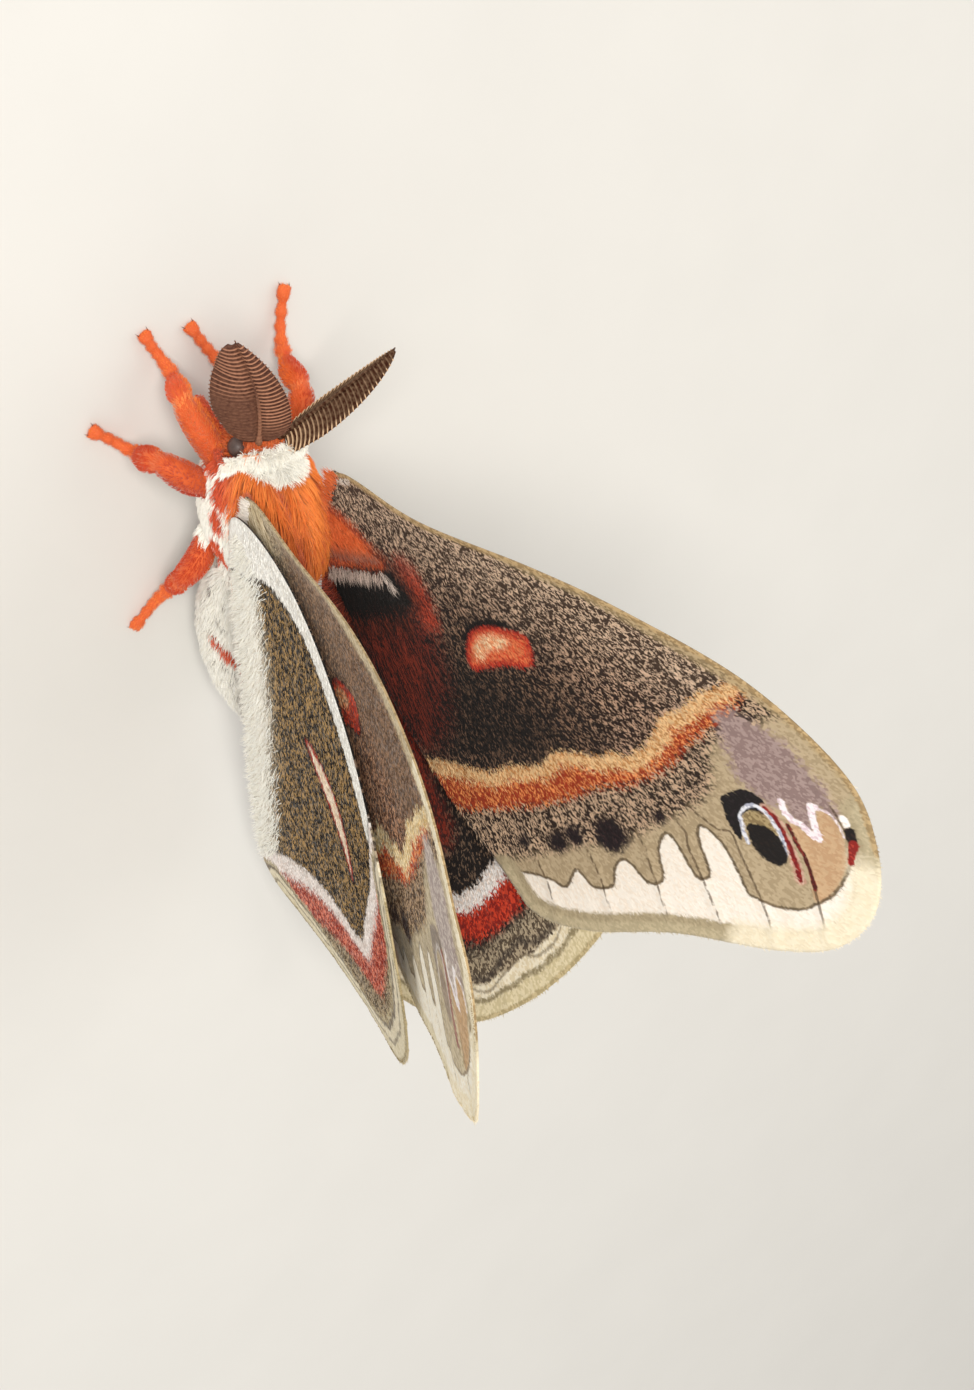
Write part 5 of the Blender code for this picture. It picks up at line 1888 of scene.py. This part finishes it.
    def legs_tufts(self, roots: Roots, fur: Fur, rng: Chance) -> Tufts:
        """Lays velvet on the legs, shorter towards the feet and clear of the floor.

        Args:
            roots: where it grows.
            fur: how it is cut.
            rng: the source of chance.

        Returns:
            The tufts.
        """
        at, normal, share, count = roots.at, roots.normal, roots.share, len(roots.at)
        foot = ramp(share, 0.52, 0.66)
        flow = roots.combed(roots.run, fur.stray, rng)
        (thigh_length, less_length), (thigh_rise, less_rise) = self.velvet
        length = (thigh_length - less_length * foot) * rng.uniform(*fur.length, count)
        rise = (thigh_rise - less_rise * foot) * rng.uniform(*fur.rise, count)
        inner = np.clip(-normal[:, 0] * np.sign(at[:, 0]) * 1.6 - 0.2, 0.0, 1.0) * (share < 0.55)
        band = np.exp(-((share - 0.285) / 0.022) ** 2)  # the paler ring of hair at the knee
        front = roots.owner < 5  # the front thighs are more orange than the others
        tint = rng.normal(0.5, 0.14, count) + 0.15 * band - 0.5 * ~front * (share < 0.5)
        rust = 0.95 - 0.75 * foot - 0.8 * inner - 0.6 * band - 0.5 * front * (share < 0.3)
        values = {"white": 0.05 * band, "rust": np.clip(rust, 0.0, 1.0), "dusk": np.zeros(count),
                  "tint": np.clip(tint, 0.0, 1.0)}
        low = 0.35 * (at[:, 2] < 0.9)
        turn = np.mod(np.arctan2(normal[:, 2], normal[:, 0]) / (2 * math.pi), 1.0)
        unwrap = np.column_stack([(roots.owner - 3 + turn) / 6.0, share])
        tufts = Tufts(at, normal, flow, length, rng.uniform(*fur.width, count) * (1 - 0.25 * foot),
                      rise - low * rise, unwrap, values)
        return tufts.chosen(at[:, 2] + normal[:, 2] * 0.3 > 0.12)


# ---------------------------------------------------------------- feelers, eyes, claws
@dataclass(frozen=True)
class FeelerRow:
    """The shape and look of one of the two rows of rami."""

    reach: float  # length of the longest ramus, mm
    widest: float  # share of the shaft's length at which it stands
    start: float  # length of the first ramus as a share of the longest
    fullness: float  # 0.5 gives a round outline, more gives a pointed one
    sweep: Span  # how far the ends lie ahead of their feet at base and tip, mm
    clear: Span  # shares of the length between which the rami come to stand out
    bright: Span = (1.0, 1.0)  # how bright they stand out at base and tip

    def spread(self, t: float) -> float:
        """Works out how long the rami are.

        Args:
            t: the share of the shaft's length at which they end.

        Returns:
            Their length, mm.
        """
        grown = min(max(t, 0.0) / self.widest, 1.0)
        rise = self.start + (1.0 - self.start) * grown * grown * (3 - 2 * grown)
        fall = max(0.0, 1.0 - (max(t - self.widest, 0.0) / (1.0 - self.widest)) ** 2) ** self.fullness
        return 0.12 + (self.reach - 0.12) * min(rise, fall)

    def contrast(self, t: float) -> float:
        """How far the rami stand out from the web at a share of the shaft's length."""
        bright = self.bright[0] + (self.bright[1] - self.bright[0]) * min(max(t, 0.0) * 2.6, 1.0)
        return float(ramp(np.array([t]), *self.clear)[0]) * bright


@dataclass(frozen=True)
class Shape:
    """One closed shape of a feeler."""

    points: Array
    faces: list[tuple[int, ...]]
    pale: Array
    unwrap: Array


@dataclass(frozen=True)
class Feeler:
    """A comb feeler: a jointed shaft with fine rami on both sides over a thin web of painted shade that darkens the
    gaps between them.
    """

    side: Side
    tip: Spot
    facing: Spot
    fold: float  # how far each row is raised towards the facing side, degrees
    rows: dict[int, FeelerRow]
    ends: tuple[float, ...]  # paleness of a ramus at each of the stops of its length
    stops: tuple[float, ...] = (0.0, 0.3, 0.85, 0.9, 1.0)
    root: Spot = (1.3, 6.7, 14.7)
    bow: float = 0.0  # sideways bend of the shaft, mm
    rise: float = 0.6  # how far it arches towards the facing side, mm
    rami: int = 27
    rami_start: float = 0.035  # share of the shaft's length at which the rami begin
    rami_run: float = 0.93  # share of it that they stand on
    web_run: Span = (0.02, 0.985)  # shares between which the painted-shade web is spread
    plain: float = 0.30  # paleness where rami and web look alike
    web: float = 0.05  # paleness of the painted-shade web where the rami stand out
    shaft: Span = (0.36, 0.12)  # paleness of the shaft at base and tip
    bead: float = 0.0  # paleness of the rami's very ends
    widths: Line = ((0.0, 0.10), (0.15, 0.125), (0.8, 0.10), (1.0, 0.06))  # share of a ramus, and its half width
    radii: Line = ((-0.02, 0.30), (0.0, 0.44), (0.05, 0.40), (0.09, 0.27), (0.5, 0.20), (1.0, 0.07))  # of the shaft

    def axes(self) -> tuple[Array, Array, Array, Array, Array]:
        """Works out how the feeler stands.

        Returns:
            Base, run, along, facing and across.
        """
        base = np.array(self.root) * (self.side.value, 1.0, 1.0)
        run = np.array(self.tip) - base
        along, facing = unit(run), np.array(self.facing)
        facing = unit(facing - along * (along @ facing))
        return base, run, along, facing, np.cross(along, facing)

    def centre(self, t: Array) -> Array:
        """Points of the shaft at shares of its length."""
        base, run, _, facing, across = self.axes()
        arch = np.sin(np.pi * np.clip(t, 0, 1))[:, None]
        return base + t[:, None] * run + arch * (self.rise * facing + self.bow * across)

    def ramus(self, t: float, way: int, steps: int) -> tuple[Array, Array]:
        """Draws the centre line of one ramus.

        Args:
            t: the share of the shaft's length at which its foot stands.
            way: the row that it belongs to.
            steps: how many points it has.

        Returns:
            Its points, and their shares of its length.
        """
        _, run, along, facing, across = self.axes()
        row, length, fold = self.rows[way], np.linalg.norm(run), math.radians(self.fold)
        share = np.linspace(0.0, 1.0, steps) ** 0.8
        end = t + (row.sweep[0] + (row.sweep[1] - row.sweep[0]) * t) / length * min(1.0, (1.0 - t) / 0.3)
        reach = row.spread(min(end, 1.0))
        ahead = along * ((end - t) * length)
        path = (self.centre(np.full(steps, t)) + (share ** 1.9)[:, None] * ahead
                + (share * reach * way * math.cos(fold))[:, None] * across
                + (share * reach * math.sin(fold) + 0.18 * np.sin(share * math.pi))[:, None] * facing)
        return path, share

    def ramus_shape(self, k: int, way: int) -> Shape:
        """Makes one ramus as a four-sided bristle, pale along its ridges, with painted shade on its two flanks.

        Args:
            k: its number in the row.
            way: the row that it belongs to.

        Returns:
            The shape.
        """
        t = self.rami_start + self.rami_run * (k + (0.5 if way > 0 else 0.35)) / self.rami
        path, share = self.ramus(t, way, 7)
        facing, count = self.axes()[3], len(path)
        width = np.interp(share, *zip(*self.widths))
        side = unit(np.cross(unit(np.gradient(path, axis=0)), facing))
        ring = np.stack([path + facing * (width * 1.4)[:, None], path - side * width[:, None],
                         path - facing * (width * 1.4)[:, None], path + side * width[:, None]], axis=1)
        last = (count - 1) * 4
        faces = triangles(tube_quads(count, 4)) + [(0, 2, 1), (0, 3, 2), (last, last + 1, last + 2),
                                                   (last, last + 2, last + 3)]
        stripe = np.repeat(np.interp(share, self.stops, self.ends), 4)
        # painted shade: the two flanks of each ramus are half as pale as its ridges
        stripe = stripe * np.tile((1.0, 0.5, 1.0, 0.5), count)
        shade = self.plain + (stripe - self.plain) * self.rows[way].contrast(t)
        shade = np.where(np.repeat(share, 4) > 0.8, np.maximum(shade, self.bead), shade)
        spot = np.column_stack([0.5 + way * np.repeat(share, 4) * 0.45, np.full(count * 4, t)])
        return Shape(ring.reshape(-1, 3), faces, shade, spot)

    def web_shape(self, way: int) -> Shape:
        """Makes the thin web, a sheet of painted shade that darkens the gaps between the rami of a row.

        Args:
            way: the row.

        Returns:
            The shape.
        """
        steps, wide = 46, 8
        _, _, _, facing, across = self.axes()
        at = np.linspace(*self.web_run, steps)
        rows = []
        for t in at:
            path, share = self.ramus(float(t), way, wide)
            rows.append(path + facing * 0.03 - across * (way * 0.12 * share)[:, None])
        grid, count = np.array(rows), steps * wide
        quads = []
        for i in range(steps - 1):
            for j in range(wide - 1):
                a, b, c, d = i * wide + j, i * wide + j + 1, (i + 1) * wide + j + 1, (i + 1) * wide + j
                quads += [(a, b, c, d), (a + count, d + count, c + count, b + count)]
        sides = [(i * wide + j, (i + 1) * wide + j) for i in range(steps - 1) for j in (0, wide - 1)]
        quads += [(a, b, b + count, a + count) for a, b in sides]
        ends = [(i * wide + j, i * wide + j + 1) for j in range(wide - 1) for i in (0, steps - 1)]
        quads += [(a, a + count, b + count, b) for a, b in ends]
        row = self.rows[way]
        # painted shade: the web is darkest where the rami stand out most
        dark = [self.plain + (self.web - self.plain) * min(1.0, row.contrast(float(t)) * 1.3) for t in at]
        spot = np.column_stack([np.tile(0.5 + way * np.tile(np.linspace(0, 0.45, wide), steps), 2),
                                np.tile(np.repeat(at, wide), 2)])
        return Shape(np.vstack([grid.reshape(-1, 3), (grid - facing * 0.06).reshape(-1, 3)]), triangles(quads),
                     np.tile(np.repeat(dark, wide), 2), spot)

    def shaft_shape(self) -> Shape:
        """Makes the jointed shaft with its thick first joint.

        Returns:
            The shape.
        """
        steps, sides = 90, 8
        _, _, _, facing, across = self.axes()
        t = np.linspace(-0.02, 1.0, steps)
        joints = np.cos(t * self.rami * 2 * math.pi)
        radius = np.interp(t, *zip(*self.radii)) * (1.0 + 0.12 * joints * (t > 0.08))
        centres = self.centre(t)
        angles = np.linspace(0, 2 * math.pi, sides, endpoint=False)
        block = np.array([[c + (across * math.cos(a) + facing * math.sin(a)) * r for a in angles]
                          for c, r in zip(centres, radius)]).reshape(-1, 3)
        last, end = (steps - 1) * sides, steps * sides
        faces = triangles(tube_quads(steps, sides)) + [((j + 1) % sides, j, end) for j in range(sides)]
        faces += [(last + j, last + (j + 1) % sides, end + 1) for j in range(sides)]
        shade = np.append(np.repeat(np.interp(t, (0.3, 0.55), self.shaft) + 0.06 * joints, sides), self.shaft)
        spot = np.column_stack([np.append(np.tile(np.linspace(0.47, 0.53, sides), steps), (0.5, 0.5)),
                                np.append(np.repeat(t, sides), (0.0, 1.0))])
        return Shape(np.vstack([block, centres[:1], centres[-1:]]), faces, shade, spot)

    def build(self, paint: Material) -> None:
        """Builds the shaft, both rows of rami and the web as one piece.

        Args:
            paint: the chitin finish, which reads the pale field.
        """
        shapes = [self.ramus_shape(k, way) for way in (-1, 1) for k in range(self.rami)]
        shapes += [self.web_shape(way) for way in (-1, 1)] + [self.shaft_shape()]
        starts = np.cumsum([0] + [len(shape.points) for shape in shapes])
        faces = np.vstack([np.array(shape.faces) + start for shape, start in zip(shapes, starts)])
        side = self.side.name.lower()
        piece = mesh_piece(f"feeler_{side}", np.vstack([shape.points for shape in shapes]), faces,
                           {"pale": np.concatenate([shape.pale for shape in shapes])},
                           np.vstack([shape.unwrap for shape in shapes]), smooth=True)
        work = bmesh.new()
        work.from_mesh(piece.data)
        bmesh.ops.recalc_face_normals(work, faces=work.faces)
        work.to_mesh(piece.data)
        work.free()
        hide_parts(f"antenna_{side}")
        finish_piece(piece, "feeler_brown", paint)


@dataclass(frozen=True)
class Eye:
    """A faceted eye, sunk in the fur of the face and slightly flattened from side to side."""

    side: Side
    flatness: float = 0.94

    def build(self, paint: Material) -> None:
        """Builds the eyeball.

        Args:
            paint: its finish.
        """
        piece = primitive("ico_sphere", subdivisions=5, radius=EYE_RADIUS * MM)
        piece.name = piece.data.name = f"eyeball_{self.side.name.lower()}"
        spot = placed(np.array(EYE_PLACE) * (self.side.value, 1.0, 1.0))
        piece.data.transform(Matrix.Translation(spot) @ Matrix.Diagonal((self.flatness, 1.0, 1.0, 1.0)))
        piece.data.polygons.foreach_set("use_smooth", np.ones(len(piece.data.polygons), bool))
        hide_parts(f"eye_{self.side.name.lower()}")
        finish_piece(piece, "eye_dark", paint)


@dataclass(frozen=True)
class Claws:
    """Two small hooked claws on each foot."""

    length: float = 0.62
    radius: float = 0.10
    apart: float = 0.42  # how far each root stands from the foot's middle
    splay: float = 0.55
    end_height: float = 0.16

    def build(self, paint: Material) -> None:
        """Builds all twelve claws as one piece.

        Args:
            paint: their finish.
        """
        hooks = []
        share = np.linspace(0.0, 1.0, 6)
        for joints in LEGS.values():
            tip, ahead, side = foot_axes(joints, 0.0)
            for way in (-1.0, 1.0):
                start = tip + ahead * CLAW_ROOT + side * way * self.apart
                path = start + unit(ahead + side * way * self.splay) * (share * self.length)[:, None]
                path[:, 2] += 0.10 * np.sin(share * math.pi) - (start[2] - self.end_height) * share ** 2
                hooks.append(tube("claw", np.column_stack([path, self.radius * (1.05 - share)])))
        finish_piece(joined("claws", hooks), "eye_dark", paint)


# ---------------------------------------------------------------- the wings' places and their hair
@dataclass(frozen=True)
class HairPatch:
    """A patch of long hair at a forewing's base."""

    name: str
    ring: Line
    count: int
    heading: Span  # along span and chord
    length: Span
    rise: float
    face: Face = Face.UPPER
    tones: Spot | None = None  # white, rust and dusk shares; without them it takes the wing's own markings
    silky: bool = False  # finer, looser and more mixed than the rest
    sooty: bool = False  # dark where the wing is


BASE_HAIR = (
    HairPatch("orange_hair", ((-0.6, 4.6), (3.0, 4.6), (6.4, 5.2), (8.8, 5.7), (8.4, 6.3), (5.6, 7.6), (0.8, 9.8),
                              (-0.6, 10.0)), 1500, (1.0, 0.35), (0.9, 1.6), 0.22, tones=(0.0, 0.7, 0.0), sooty=True),
    HairPatch("cuff", ((0.2, 0.9), (1.3, -0.1), (2.0, 0.3), (1.3, 4.0), (1.0, 9.0), (0.4, 9.0)), 420,
              (-1.0, -0.25), (1.1, 1.7), 0.35, tones=(0.0, 0.6, 0.0)),
    HairPatch("root_fur", ((0.2, 0.8), (1.6, -0.3), (2.3, 0.8), (1.4, 3.2), (0.3, 3.2)), 420,
              (-1.0, 0.3), (0.9, 1.5), 0.35, Face.UNDER, (0.92, 0.05, 0.1)),
    HairPatch("pale_cuff", ((0.3, 2.6), (1.2, 2.6), (1.6, 10.0), (0.5, 9.5)), 700,
              (-1.0, 0.3), (1.2, 2.0), 0.5, Face.UNDER, (0.95, 0.1, 0.12)),
    HairPatch("root_tuft", ((1.0, 0.5), (2.8, -0.6), (3.4, -0.3), (1.6, 0.9)), 60,
              (1.0, 0.0), (0.5, 0.8), 0.2, tones=(0.85, 0.0, 0.25)),
    HairPatch("grey_hair", ((0.2, 11.6), (3.0, 10.3), (5.6, 9.0), (10.0, 7.0), (10.6, 7.4), (6.2, 9.7), (3.4, 11.2),
                            (0.6, 12.8)), 560, (0.7, 0.75), (0.7, 1.8), 0.30, tones=(0.7, 0.0, 0.55), silky=True),
    HairPatch("grey_tail", ((9.6, 7.0), (10.4, 6.8), (12.4, 7.6), (12.2, 8.2), (10.4, 7.8)), 90,
              (1.0, 0.15), (0.8, 1.5), 0.2, tones=(0.8, 0.0, 0.5), silky=True),
    HairPatch("dark_hair", ((-0.4, 12.6), (6.0, 10.4), (13.0, 8.6), (20.0, 12.0), (20.0, 22.5), (10.0, 17.0)), 2000,
              (0.9, 0.75), (1.6, 3.2), 0.12),
    HairPatch("root_hair", ((0.3, -0.6), (3.6, -0.9), (6.5, 1.2), (6.0, 6.0), (1.0, 8.8), (0.2, 7.0)), 1500,
              (1.0, 0.45), (1.5, 2.8), 0.22, Face.UNDER))
SILKY_HAIR, COARSE_HAIR = (0.28, 0.08, 0.22), (0.15, 0.12, 0.1)  # stray, width in mm and how mixed the tones are
FLUFF_RING: Line = ((0.2, 4.0), (9.0, 6.0), (10.6, 18.0), (10.0, 29.0), (8.2, 41.0), (4.4, 50.0), (0.2, 55.0),
                    (-0.2, 30.0), (-0.9, 14.0))
FLUFF_WIDTH = 9.0
WING_PLACES = {  # each wing's frame, and how many scales are laid on its upper and its under face
    "forewing_right": (WingFrame(Side.RIGHT, 5.54, 9.52, 3.66, (6.40, 2.0)), 39000, 9000),
    "forewing_left": (WingFrame(Side.LEFT, 5.40, 9.52, 2.35, (5.84, 3.4), tuck=0.015, curl=1.25), 10000, 22000),
    "hindwing_right": (WingFrame(Side.RIGHT, 5.54, 9.52, 3.66, (-1.00, 0.0130, -0.0670, -0.00355, 0.00195, 0.00125)),
                       16000, 7000),
    "hindwing_left": (WingFrame(Side.LEFT, 5.40, 9.52, 3.82, (-1.11, 0.0160, -0.0450, -0.00359, 0.00225, 0.00080),
                                roll=0.7), 6000, 24000),
}


@dataclass(frozen=True)
class WingSet:
    """The four wings with their hair."""

    coat: Material

    def build(self) -> None:
        """Builds both pairs of wings."""
        pairs = {"fore": (FORE_PLAN, ForePattern(), {Face.UPPER: FORE_UPPER, Face.UNDER: FORE_UNDER}, self.base_hair),
                 "hind": (HIND_PLAN, HindPattern(), {Face.UPPER: HIND_UPPER, Face.UNDER: HIND_UNDER}, self.fluff)}
        sheets = {pair: parts[0].sheet() for pair, parts in pairs.items()}
        for k, (name, (place, upper_count, under_count)) in enumerate(WING_PLACES.items()):
            plan, pattern, paints, lay_hair = pairs[name[:4]]
            counts = {Face.UPPER: upper_count, Face.UNDER: under_count}
            wing = Wing(name, plan, pattern, place, paints, counts, 100 + 10 * k)
            points, faces = sheets[name[:4]]
            wing.build_sheet(points, faces)
            wing.build_scales(points)
            wing.fringe()
            lay_hair(wing)

    def base_hair(self, wing: Wing) -> None:
        """Lays the orange, grey and dark red hair at a forewing's base, and the white tuft beneath it.

        Args:
            wing: the forewing.
        """
        rng = np.random.default_rng(wing.seed + 6)
        for patch in BASE_HAIR:
            at = wing.spots(patch.ring, patch.count, rng)
            count = len(at)
            stray, width, mixture = SILKY_HAIR if patch.silky else COARSE_HAIR
            values, paint = None, wing.paints[patch.face].build(Grain.SCALES)
            if patch.tones:
                white, rust, dusk = patch.tones
                values = {"white": np.full(count, white), "rust": np.full(count, rust),
                          "dusk": np.clip(dusk + rng.normal(0.0, mixture, count), 0.0, 1.0)}
                paint = self.coat
            if patch.sooty:
                values["dusk"] = 0.95 * ramp(wing.pattern.fields(wing.plan, at)["soot"], -2.6, 0.0)
            heading = np.tile(patch.heading, (count, 1)) + rng.normal(0, stray, (count, 2))
            wing.hair(patch.name, at, heading, patch.face, rng.uniform(*patch.length, count), patch.rise, width,
                      values, paint, rng)

    def fluff(self, wing: Wing) -> None:
        """Lays the fluff along a hindwing's inner margin, white beneath and dark red above.

        Args:
            wing: the hindwing.
        """
        rng = np.random.default_rng(wing.seed + 7)
        for face, count, white, dusk in ((Face.UNDER, 8800, 1.0, 0.15), (Face.UPPER, 2600, 0.0, 0.5)):
            at = wing.spots(FLUFF_RING, count, rng)
            count = len(at)
            inward = 1.0 - ramp(at[:, 0], 0.0, FLUFF_WIDTH)
            heading = np.column_stack([-0.2 - 0.7 * inward ** 3, np.ones(count)]) + rng.normal(0, 0.16, (count, 2))
            keep = rng.random(count) < inward ** 1.3
            at, heading, inward = at[keep], heading[keep], inward[keep]
            count = len(at)
            values = {"white": np.full(count, white), "rust": np.full(count, 1.0 - white),
                      "dusk": np.clip((1 - inward) * dusk + rng.normal(0, 0.06, count), 0, 1)}
            wing.hair(f"{face.name.lower()}_hair", at, heading, face, rng.uniform(1.2, 2.2, count), 0.35, 0.11,
                      values, self.coat, rng)


# ---------------------------------------------------------------- the stage and the whole moth
@dataclass(frozen=True)
class Lamp:
    """A soft square light that shines on the moth."""

    name: str
    place: Spot
    size: float
    power: float
    colour: str = "#FFFAF2"

    def build(self) -> None:
        """Hangs the light."""
        light = bpy.data.lights.new(self.name, "AREA")
        light.size, light.energy, light.color = self.size, self.power, linear(self.colour)[:3]
        holder = linked(self.name, light)
        holder.location = self.place
        aim = Vector((0.0, 0.0, 0.035)) - Vector(self.place)
        holder.rotation_euler = aim.to_track_quat("-Z", "Y").to_euler()


@dataclass(frozen=True)
class Stage:
    """The pale floor, the soft studio lights and the camera."""

    floor_side: float = 1.6
    floor_colours: tuple[str, str] = ("#D5D4D1", "#DAD9D6")
    surround: str = "#FCFAF6"
    surround_strength: float = 0.53
    lamps: tuple[Lamp, ...] = (
        Lamp("key", (-0.22, 0.26, 0.50), 0.24, 3.0), Lamp("fill", (0.45, 0.10, 0.30), 0.5, 0.8),
        Lamp("back", (-0.10, -0.50, 0.35), 0.4, 0.5))
    place: Spot = (-0.0884855, 0.1156847, 0.1785747)  # the camera, in front of the moth's left shoulder
    turn: tuple[Spot, ...] = ((0.81802686, 0.31508832, -0.48119789), (0.0034363, 0.83391182, 0.551887),
                              (0.57516975, -0.45311193, 0.68107953))
    lens: float = 50.70
    sensor: float = 36.0

    def build(self) -> None:
        """Builds the stage round the moth."""
        self.build_floor()
        self.build_lights()
        self.build_camera()

    def build_floor(self) -> None:
        """Lays a plain pale board under the moth."""
        floor = primitive("grid", x_subdivisions=4, y_subdivisions=4, size=self.floor_side)
        floor.name = "floor"
        material, add, shader = start_material("painted_board")
        mottle = add("TexNoise", "Fac", {"Scale": 60.0, "Detail": 4.0}, {"Vector": add("TexCoord", "Object")})
        deep, pale = (linear(code) for code in self.floor_colours)
        colour = add("Mix", 2, {"data_type": "RGBA", 6: deep, 7: pale}, {0: mottle})
        fit(shader, {"Roughness": 0.8}, {"Base Color": colour})
        floor.data.materials.append(material)

    def build_lights(self) -> None:
        """Hangs the lights in an even pale surround."""
        world = bpy.data.worlds.new("studio")
        bpy.context.scene.world = world
        world.use_nodes = True
        fit(world.node_tree.nodes["Background"], {0: linear(self.surround), 1: self.surround_strength}, {})
        for lamp in self.lamps:
            lamp.build()

    def build_camera(self) -> None:
        """Sets the camera, which looks down on the moth, and plain colours."""
        data = bpy.data.cameras.new("camera")
        data.lens, data.sensor_width, data.clip_start = self.lens, self.sensor, 0.005
        camera = linked("camera", data)
        camera.matrix_world = Matrix.Translation(self.place) @ Matrix(self.turn).to_4x4()
        bpy.context.scene.camera = camera
        bpy.context.scene.view_settings.view_transform = "Standard"
        bpy.context.scene.view_settings.look = "None"


BODY_HAIR = CoatPaint("hair_scales_of_the_body", orange=("#E66C26", "#FF9C4A"), rust=("#C4401E", "#E86A44"),
                      white=("#F4F0E4", "#FFFFFA"), dusk=("#4A403A", "#7B706A"))
LEFT_CHITIN = ShellFinish("reddish_chitin_of_a_feeler", "#44241A", "#DC9E7C", 0.6, 0.35, 0.03, field_name="pale",
                          specular=0.25)
RIGHT_CHITIN = ShellFinish("dark_chitin_of_a_feeler", "#3A1C0E", "#E8C49E", 0.7, 0.35, 0.03, field_name="pale",
                           specular=0.12)
EYE_CHITIN = ShellFinish("faceted_chitin_of_the_eyes", "#30201E", "#62504A", 0.46, 0.9, 0.04, facets=True, coat=0.06)
CLAW_CHITIN = ShellFinish("chitin_of_the_claws", "#2A140C", "#6B351C", 0.35, 0.3, 0.02)
LEFT_FEELER = Feeler(
    Side.LEFT, tip=(-5.9, 20.9, 19.9), facing=(-0.40, -0.44, 0.80), fold=10.0,
    rows={-1: FeelerRow(4.7, 0.56, 0.50, 0.5, (2.3, 2.9), (0.44, 0.64), (0.85, 0.75)),
          1: FeelerRow(3.5, 0.22, 0.66, 0.8, (0.9, 1.2), (0.06, 0.30))},
    ends=(0.66, 0.72, 0.66, 0.6, 0.5), bow=0.95, plain=0.13)
RIGHT_FEELER = Feeler(
    Side.RIGHT, tip=(10.8, 17.0, 22.5), facing=(0.716, -0.696, 0.047), fold=21.0,
    rows={-1: FeelerRow(3.0, 0.30, 0.85, 0.62, (-1.5, 0.6), (-0.6, -0.5), (1.15, 0.20)),
          1: FeelerRow(2.4, 0.30, 0.60, 0.8, (1.2, 1.2), (-0.6, -0.5), (0.12, 0.20))},
    ends=(0.75, 0.90, 0.80, 0.7, 0.6), rise=0.2, plain=0.035, shaft=(0.06, 0.05), bead=0.80)


def main() -> None:
    """Builds the moth piece by piece on its stage."""
    logging.basicConfig(level=logging.INFO, format="%(message)s")
    Stage().build()
    hair = BODY_HAIR.build()
    skin = Skin().build()
    coat = Coat(skin, BodyMarks())
    coat.mark_skin()
    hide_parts("head", "thorax", "abdomen", *LEGS)
    finish_piece(skin, "orange_fur", hair)
    coat.grow(hair)
    WingSet(hair).build()
    eye_paint = EYE_CHITIN.build()
    LEFT_FEELER.build(LEFT_CHITIN.build())
    RIGHT_FEELER.build(RIGHT_CHITIN.build())
    for side in Side:
        Eye(side).build(eye_paint)
    Claws().build(CLAW_CHITIN.build())
    meshes = [each.data for each in bpy.context.scene.objects if each.type == "MESH"]
    LOG.info("all pieces: %d triangles", sum(len(face.vertices) - 2 for mesh in meshes for face in mesh.polygons))


if __name__ == "__main__":
    main()
